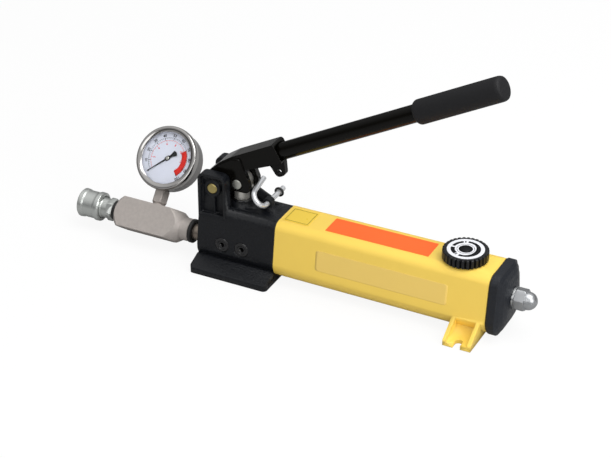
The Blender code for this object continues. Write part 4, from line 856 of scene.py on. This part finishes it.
# %% [markdown]
# ## Printed marks
#
# Ink is a film a few hundredths of a millimetre thick. The marks are drawn
# flat: a *band* swings a short edge about the centre, a *tick* is one small
# rectangle, and a *figure* is a number from the built-in font turned into a
# mesh. A solidify modifier gives the film its thickness.


# %% Flat marks
band_step = math.radians(4.0)


def band(shape, inner, outer, start, end):
    """Ring sector between two radii, from one angle to another, degrees."""
    start, end = math.radians(start), math.radians(end)
    way = Vector((math.cos(start), math.sin(start), 0.0))
    ends = [shape.verts.new(way * radius) for radius in (inner, outer)]
    edge = shape.edges.new(ends)
    steps = max(2, int(abs(end - start) / band_step))
    bmesh.ops.spin(shape, geom=ends + [edge], axis=(0, 0, 1),
                   cent=(0, 0, 0), angle=end - start, steps=steps)


def tick(shape, inner, outer, angle, width):
    """Small rectangle that points at the centre."""
    place = (Matrix.Rotation(math.radians(angle), 4, 'Z')
             @ Matrix.Translation(((inner + outer) / 2.0, 0.0, 0.0))
             @ Matrix.Diagonal((outer - inner, width, 1.0, 1.0)))
    bmesh.ops.create_grid(shape, x_segments=1, y_segments=1, size=0.5,
                          matrix=place)


print("a band turns", round(math.degrees(band_step), 1), "degrees a step")

# %% Numbers and ink
bolder = 0.025
ink_film = 0.00004


def figure(shape, number, size, radius, angle):
    """One number, its top away from the centre."""
    curve = bpy.data.curves.new("number", 'FONT')
    curve.body = str(number)
    curve.size = size
    curve.offset = size * bolder
    curve.resolution_u = 3
    curve.align_x = 'CENTER'
    curve.align_y = 'CENTER'
    holder = bpy.data.objects.new("number", curve)
    scene.collection.objects.link(holder)
    graph = bpy.context.evaluated_depsgraph_get()
    flat = bpy.data.meshes.new_from_object(holder.evaluated_get(graph))
    flat.transform(Matrix.Rotation(math.radians(angle - 90.0), 4, 'Z')
                   @ Matrix.Translation((0.0, radius, 0.0)))
    shape.from_mesh(flat)
    bpy.data.objects.remove(holder)
    bpy.data.curves.remove(curve)
    bpy.data.meshes.remove(flat)


def printed(name, shape, place, material, node):
    """Flat marks as a film of ink on a solid."""
    shape.normal_update()
    bmesh.ops.reverse_faces(shape, faces=[face for face in shape.faces
                                          if face.normal.z < 0.0])
    bmesh.ops.transform(shape, matrix=place, verts=shape.verts)
    piece = add_piece(name, shape, material, node, replaces=False)
    thick = piece.modifiers.new("film", 'SOLIDIFY')
    thick.thickness = ink_film
    thick.offset = 1.0
    print(name, len(piece.data.polygons), "faces")


print("ink film", ink_film, "m")

# %% [markdown]
# The scale runs clockwise over 270 degrees, from 0 at the lower left to 100
# at the lower right. A second, red scale inside it counts to 14 in the other
# unit, and a broad red sector marks the range to stay out of.

# %% Black scale
zero_angle = 223.5
per_ten = -27.0
black_radius = 0.0212
half_line = 0.0001
long_inner, long_width = 0.0188, 0.00056
short_inner, short_width = 0.0197, 0.00022
black_size, black_size_radius = 0.0038, 0.0234
black_level = dial_top + 0.00006
black_scale = bmesh.new()
for k in range(51):
    angle = zero_angle + per_ten * k / 5.0
    if k % 5 == 0:
        tick(black_scale, long_inner, black_radius, angle, long_width)
    else:
        tick(black_scale, short_inner, black_radius, angle, short_width)
band(black_scale, black_radius - half_line, black_radius + half_line,
     zero_angle, zero_angle + 10 * per_ten)
for k in range(11):
    figure(black_scale, 10 * k, black_size, black_size_radius,
           zero_angle + per_ten * k)
printed("black_scale", black_scale, dial_place(black_level), black_ink,
        "gauge_dial")

# %% Red scale and red sector
per_two = -37.23
red_end = 14.5
red_inner, red_radius, red_outer = 0.0183, 0.0184, 0.01855
long_inner, long_width = 0.0168, 0.00034
short_inner, short_width = 0.0175, 0.00020
red_size, red_size_radius = 0.0030, 0.0148
sector_inner, sector_outer = 0.0150, 0.0207
sector_start, sector_end = 34.5, -46.5
red_level = dial_top + 0.00001
red_scale = bmesh.new()
band(red_scale, red_inner, red_outer, zero_angle,
     zero_angle + per_two * red_end / 2.0)
for k in range(30):
    angle = zero_angle + per_two * k / 4.0
    if k % 4 == 0:
        tick(red_scale, long_inner, red_radius, angle, long_width)
    else:
        tick(red_scale, short_inner, red_radius, angle, short_width)
for k in range(1, 8):
    figure(red_scale, 2 * k, red_size, red_size_radius,
           zero_angle + per_two * k)
band(red_scale, sector_inner, sector_outer, sector_start, sector_end)
printed("red_scale", red_scale, dial_place(red_level), red_ink, "gauge_dial")

# %% [markdown]
# The disc in the filler cap is printed with rings: a broken outer ring that
# swells on one side, a fine inner ring and a dark middle.

# %% Rings on the filler cap's disc
above = 0.00001
mark_weld = 0.00001


def top_place(node):
    """Middle of a flat solid's top, a hair above it."""
    low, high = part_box(node)
    return Matrix.Translation(((low[0] + high[0]) / 2.0,
                               (low[1] + high[1]) / 2.0, high[2] + above))


ring_inner, ring_outer = 0.0112, 0.0140
ring_sectors = (
    (0.0109, 0.0139, 122.0, 178.0), (0.0102, ring_outer, 188.0, 240.0),
    (ring_inner, ring_outer, 110.0, 116.0),
    (ring_inner, ring_outer, 244.0, 250.0),
    (0.0080, 0.0084, 0.0, 180.0), (0.0080, 0.0084, 180.0, 360.0),
    (0.0, 0.0066, 0.0, 180.0), (0.0, 0.0066, 180.0, 360.0))
swell_width = 0.0018
swell_start, swell_step = -99.0, 5.0
rings = bmesh.new()
for inner, outer, start, end in ring_sectors:
    band(rings, inner, outer, start, end)
for k in range(40):
    middle = swell_start + swell_step * (k + 0.5)
    swell = math.cos(math.radians(middle)) ** 2 if abs(middle) < 90 else 0.0
    band(rings, ring_inner - swell_width * swell, ring_outer,
         middle - swell_step / 2.0, middle + swell_step / 2.0)
bmesh.ops.remove_doubles(rings, verts=rings.verts, dist=mark_weld)
bmesh.ops.dissolve_degenerate(rings, edges=rings.edges, dist=mark_weld)
printed("disc_rings", rings, top_place("vent_disc"), black_ink, "vent_disc")

# %% [markdown]
# The small yellow sticker has a thin printed border: one flat face is inset,
# and the inner face is deleted, so that a narrow frame stays.

# %% Border on the front sticker
low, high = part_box("front_label")
border_margin = 0.0030
border_width = 0.00035
border = bmesh.new()
bmesh.ops.create_grid(
    border, x_segments=1, y_segments=1, size=0.5,
    matrix=Matrix.Diagonal((high[0] - low[0] - border_margin,
                            high[1] - low[1] - border_margin, 1.0, 1.0)))
middle = list(border.faces)
bmesh.ops.inset_region(border, faces=middle, thickness=border_width,
                       use_boundary=True, use_even_offset=True)
bmesh.ops.delete(border, geom=middle, context='FACES')
printed("sticker_border", border, top_place("front_label"), black_ink,
        "front_label")

# %% [markdown]
# A long clear label lies along the near side of the tank. Its grid is laid
# flat first, its corners are rounded by drawing in the first and last rows,
# and each point is then dropped along Y onto the tank.

# %% Clear label on the tank's side
label_front, label_rear = 0.0860, 0.2215
label_low, label_high = 0.0283, 0.0490
label_corner = 0.0028
label_film = 0.00008
label_gap = 0.00002
beside_tank = -0.1
tank_mesh = frame["nodes"]["tank"].data
tank_skin = BVHTree.FromPolygons(
    [vertex.co for vertex in tank_mesh.vertices],
    [list(face.vertices) for face in tank_mesh.polygons])
film = bmesh.new()
bmesh.ops.create_grid(film, x_segments=60, y_segments=44, size=0.5)
half_length = (label_rear - label_front) / 2.0
half_height = (label_high - label_low) / 2.0
for vertex in film.verts:
    height = vertex.co.y * 2.0 * half_height
    into_corner = max(0.0, abs(height) - (half_height - label_corner))
    drawn_in = label_corner - math.sqrt(
        max(0.0, label_corner ** 2 - into_corner ** 2))
    x = (label_front + half_length
         + vertex.co.x * 2.0 * (half_length - drawn_in))
    start = Vector((x, beside_tank, (label_low + label_high) / 2.0 + height))
    hit = tank_skin.ray_cast(start, Vector((0.0, 1.0, 0.0)))[0]
    vertex.co = hit - Vector((0.0, label_gap, 0.0))
film.normal_update()
bmesh.ops.reverse_faces(film, faces=[face for face in film.faces
                                     if face.normal.y > 0.0])
label = add_piece("side_label", film, clear_sticker, "tank", replaces=False)
thick = label.modifiers.new("film", 'SOLIDIFY')
thick.thickness = label_film
thick.offset = 1.0
print("side label", round(2.0 * half_length, 4), "m long")

# %% [markdown]
# ## Pins and the lock pin's ring
#
# The two pins of the lever lie across the pump. Their ends are chamfered, so
# each shows a bright ring round a darker face.

# %% Pins across the lever
pin_chamfer = 0.0008
pin_face_in = 0.0009


def cross_pin(name, node, material):
    """Chamfered pin along Y in place of a packed one."""
    low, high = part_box(node)
    radius = (high[2] - low[2]) / 2.0
    middle = (Vector(low) + Vector(high)) / 2.0
    half = (high[1] - low[1]) / 2.0
    face_radius = radius - pin_face_in
    turned(name, [(0.0, -half), (face_radius, -half),
                  (radius, -half + pin_chamfer), (radius, half - pin_chamfer),
                  (face_radius, half), (0.0, half)],
           middle, (0, 1, 0), material, node, radius=small_round,
           steps=small_steps)


cross_pin("pivot_bolt", "pivot_pin", yellow_zinc)
cross_pin("piston_bolt", "piston_pin", pin_steel)

# %% [markdown]
# The little rubber ring that keeps the lock pin from sliding out is a circle
# spun round the pin's axis, which gives a torus.

# %% Ring on the lock pin
low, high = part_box("lock_pin_ring")
ring_middle = (Vector(low) + Vector(high)) / 2.0
cord_radius = (high[1] - low[1]) / 2.0
ring_radius = (high[0] - low[0]) / 2.0 - cord_radius
cord_points = 16
turns = [2.0 * math.pi * k / cord_points for k in range(cord_points)]
turned("lock_ring_rubber", [
    (ring_radius + cord_radius * math.cos(turn), cord_radius * math.sin(turn))
    for turn in turns],
    ring_middle, (0, 1, 0), seal_rubber, "lock_pin_ring", radius=0.0,
    steps=48, closed=True)

# %% [markdown]
# ## The handle
#
# The tube and its rubber grip lie along one slanted line, which starts just
# above the lever's pivot. The grip's ends are rounded like those of a thick
# moulded sleeve.

# %% Handle line
pivot = Vector(joint_of["lever_swing"]["pos_m"])
slope = math.radians(28.1)
handle_way = Vector((math.cos(slope), 0.0, math.sin(slope)))
handle_up = Vector((-math.sin(slope), 0.0, math.cos(slope)))
handle_rise = 0.0108
handle_foot = pivot + handle_up * handle_rise
grip_start = 0.2353
grip_end = grip_start + 0.0926
grip_radius = 0.0118
tube_radius = 0.0085
tube_wall = 0.0018
tube_start = 0.0535
tube_end = grip_end - 0.0038
play = 0.0003
print("grip ends", [round(v, 3) for v in handle_foot + handle_way * grip_end])

# %% Grip and tube
turned("rubber_grip", [
    (0.0, grip_end), (grip_radius - 0.0035, grip_end),
    (grip_radius - 0.0008, grip_end - 0.0012),
    (grip_radius, grip_end - 0.0040),
    (grip_radius, grip_start + 0.0022),
    (grip_radius - 0.0012, grip_start + 0.0004),
    (grip_radius - 0.0022, grip_start), (tube_radius + play, grip_start),
    (tube_radius + play, tube_end + play), (0.0, tube_end + play)],
    handle_foot, handle_way, grip_rubber, "grip", radius=0.0010)
turned("painted_tube", [
    (tube_radius, tube_end), (tube_radius, tube_start),
    (tube_radius - tube_wall, tube_start),
    (tube_radius - tube_wall, tube_end)],
    handle_foot, handle_way, lever_gloss, "handle_tube", closed=True)

# %% [markdown]
# ## The remaining solids
#
# A solid that already looks right, or that is hidden inside the pump, keeps
# its own mesh and only gets a finish.

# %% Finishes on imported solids
plain = {
    seal_rubber: ("front_seal", "rear_seal", "rod_wiper", "piston_seal",
                  "vent_seal"),
    ground_steel: ("tie_rod", "release_stem", "coupler_poppet",
                   "front_valve_ball", "rear_valve_ball",
                   "front_valve_spring", "rear_valve_spring"),
    brass: ("suction_tube", "suction_strainer", "gauge_movement",
            "bourdon_tube"),
    window: ("gauge_glass",), dial_paper: ("gauge_dial",),
    disc_silver: ("vent_disc",), orange_sticker: ("top_label",),
    yellow_sticker: ("front_label",)}
for material, nodes in plain.items():
    for node in nodes:
        for slot in frame["nodes"][node].material_slots:
            slot.material = material
print(sum(len(nodes) for nodes in plain.values()), "solids finished")
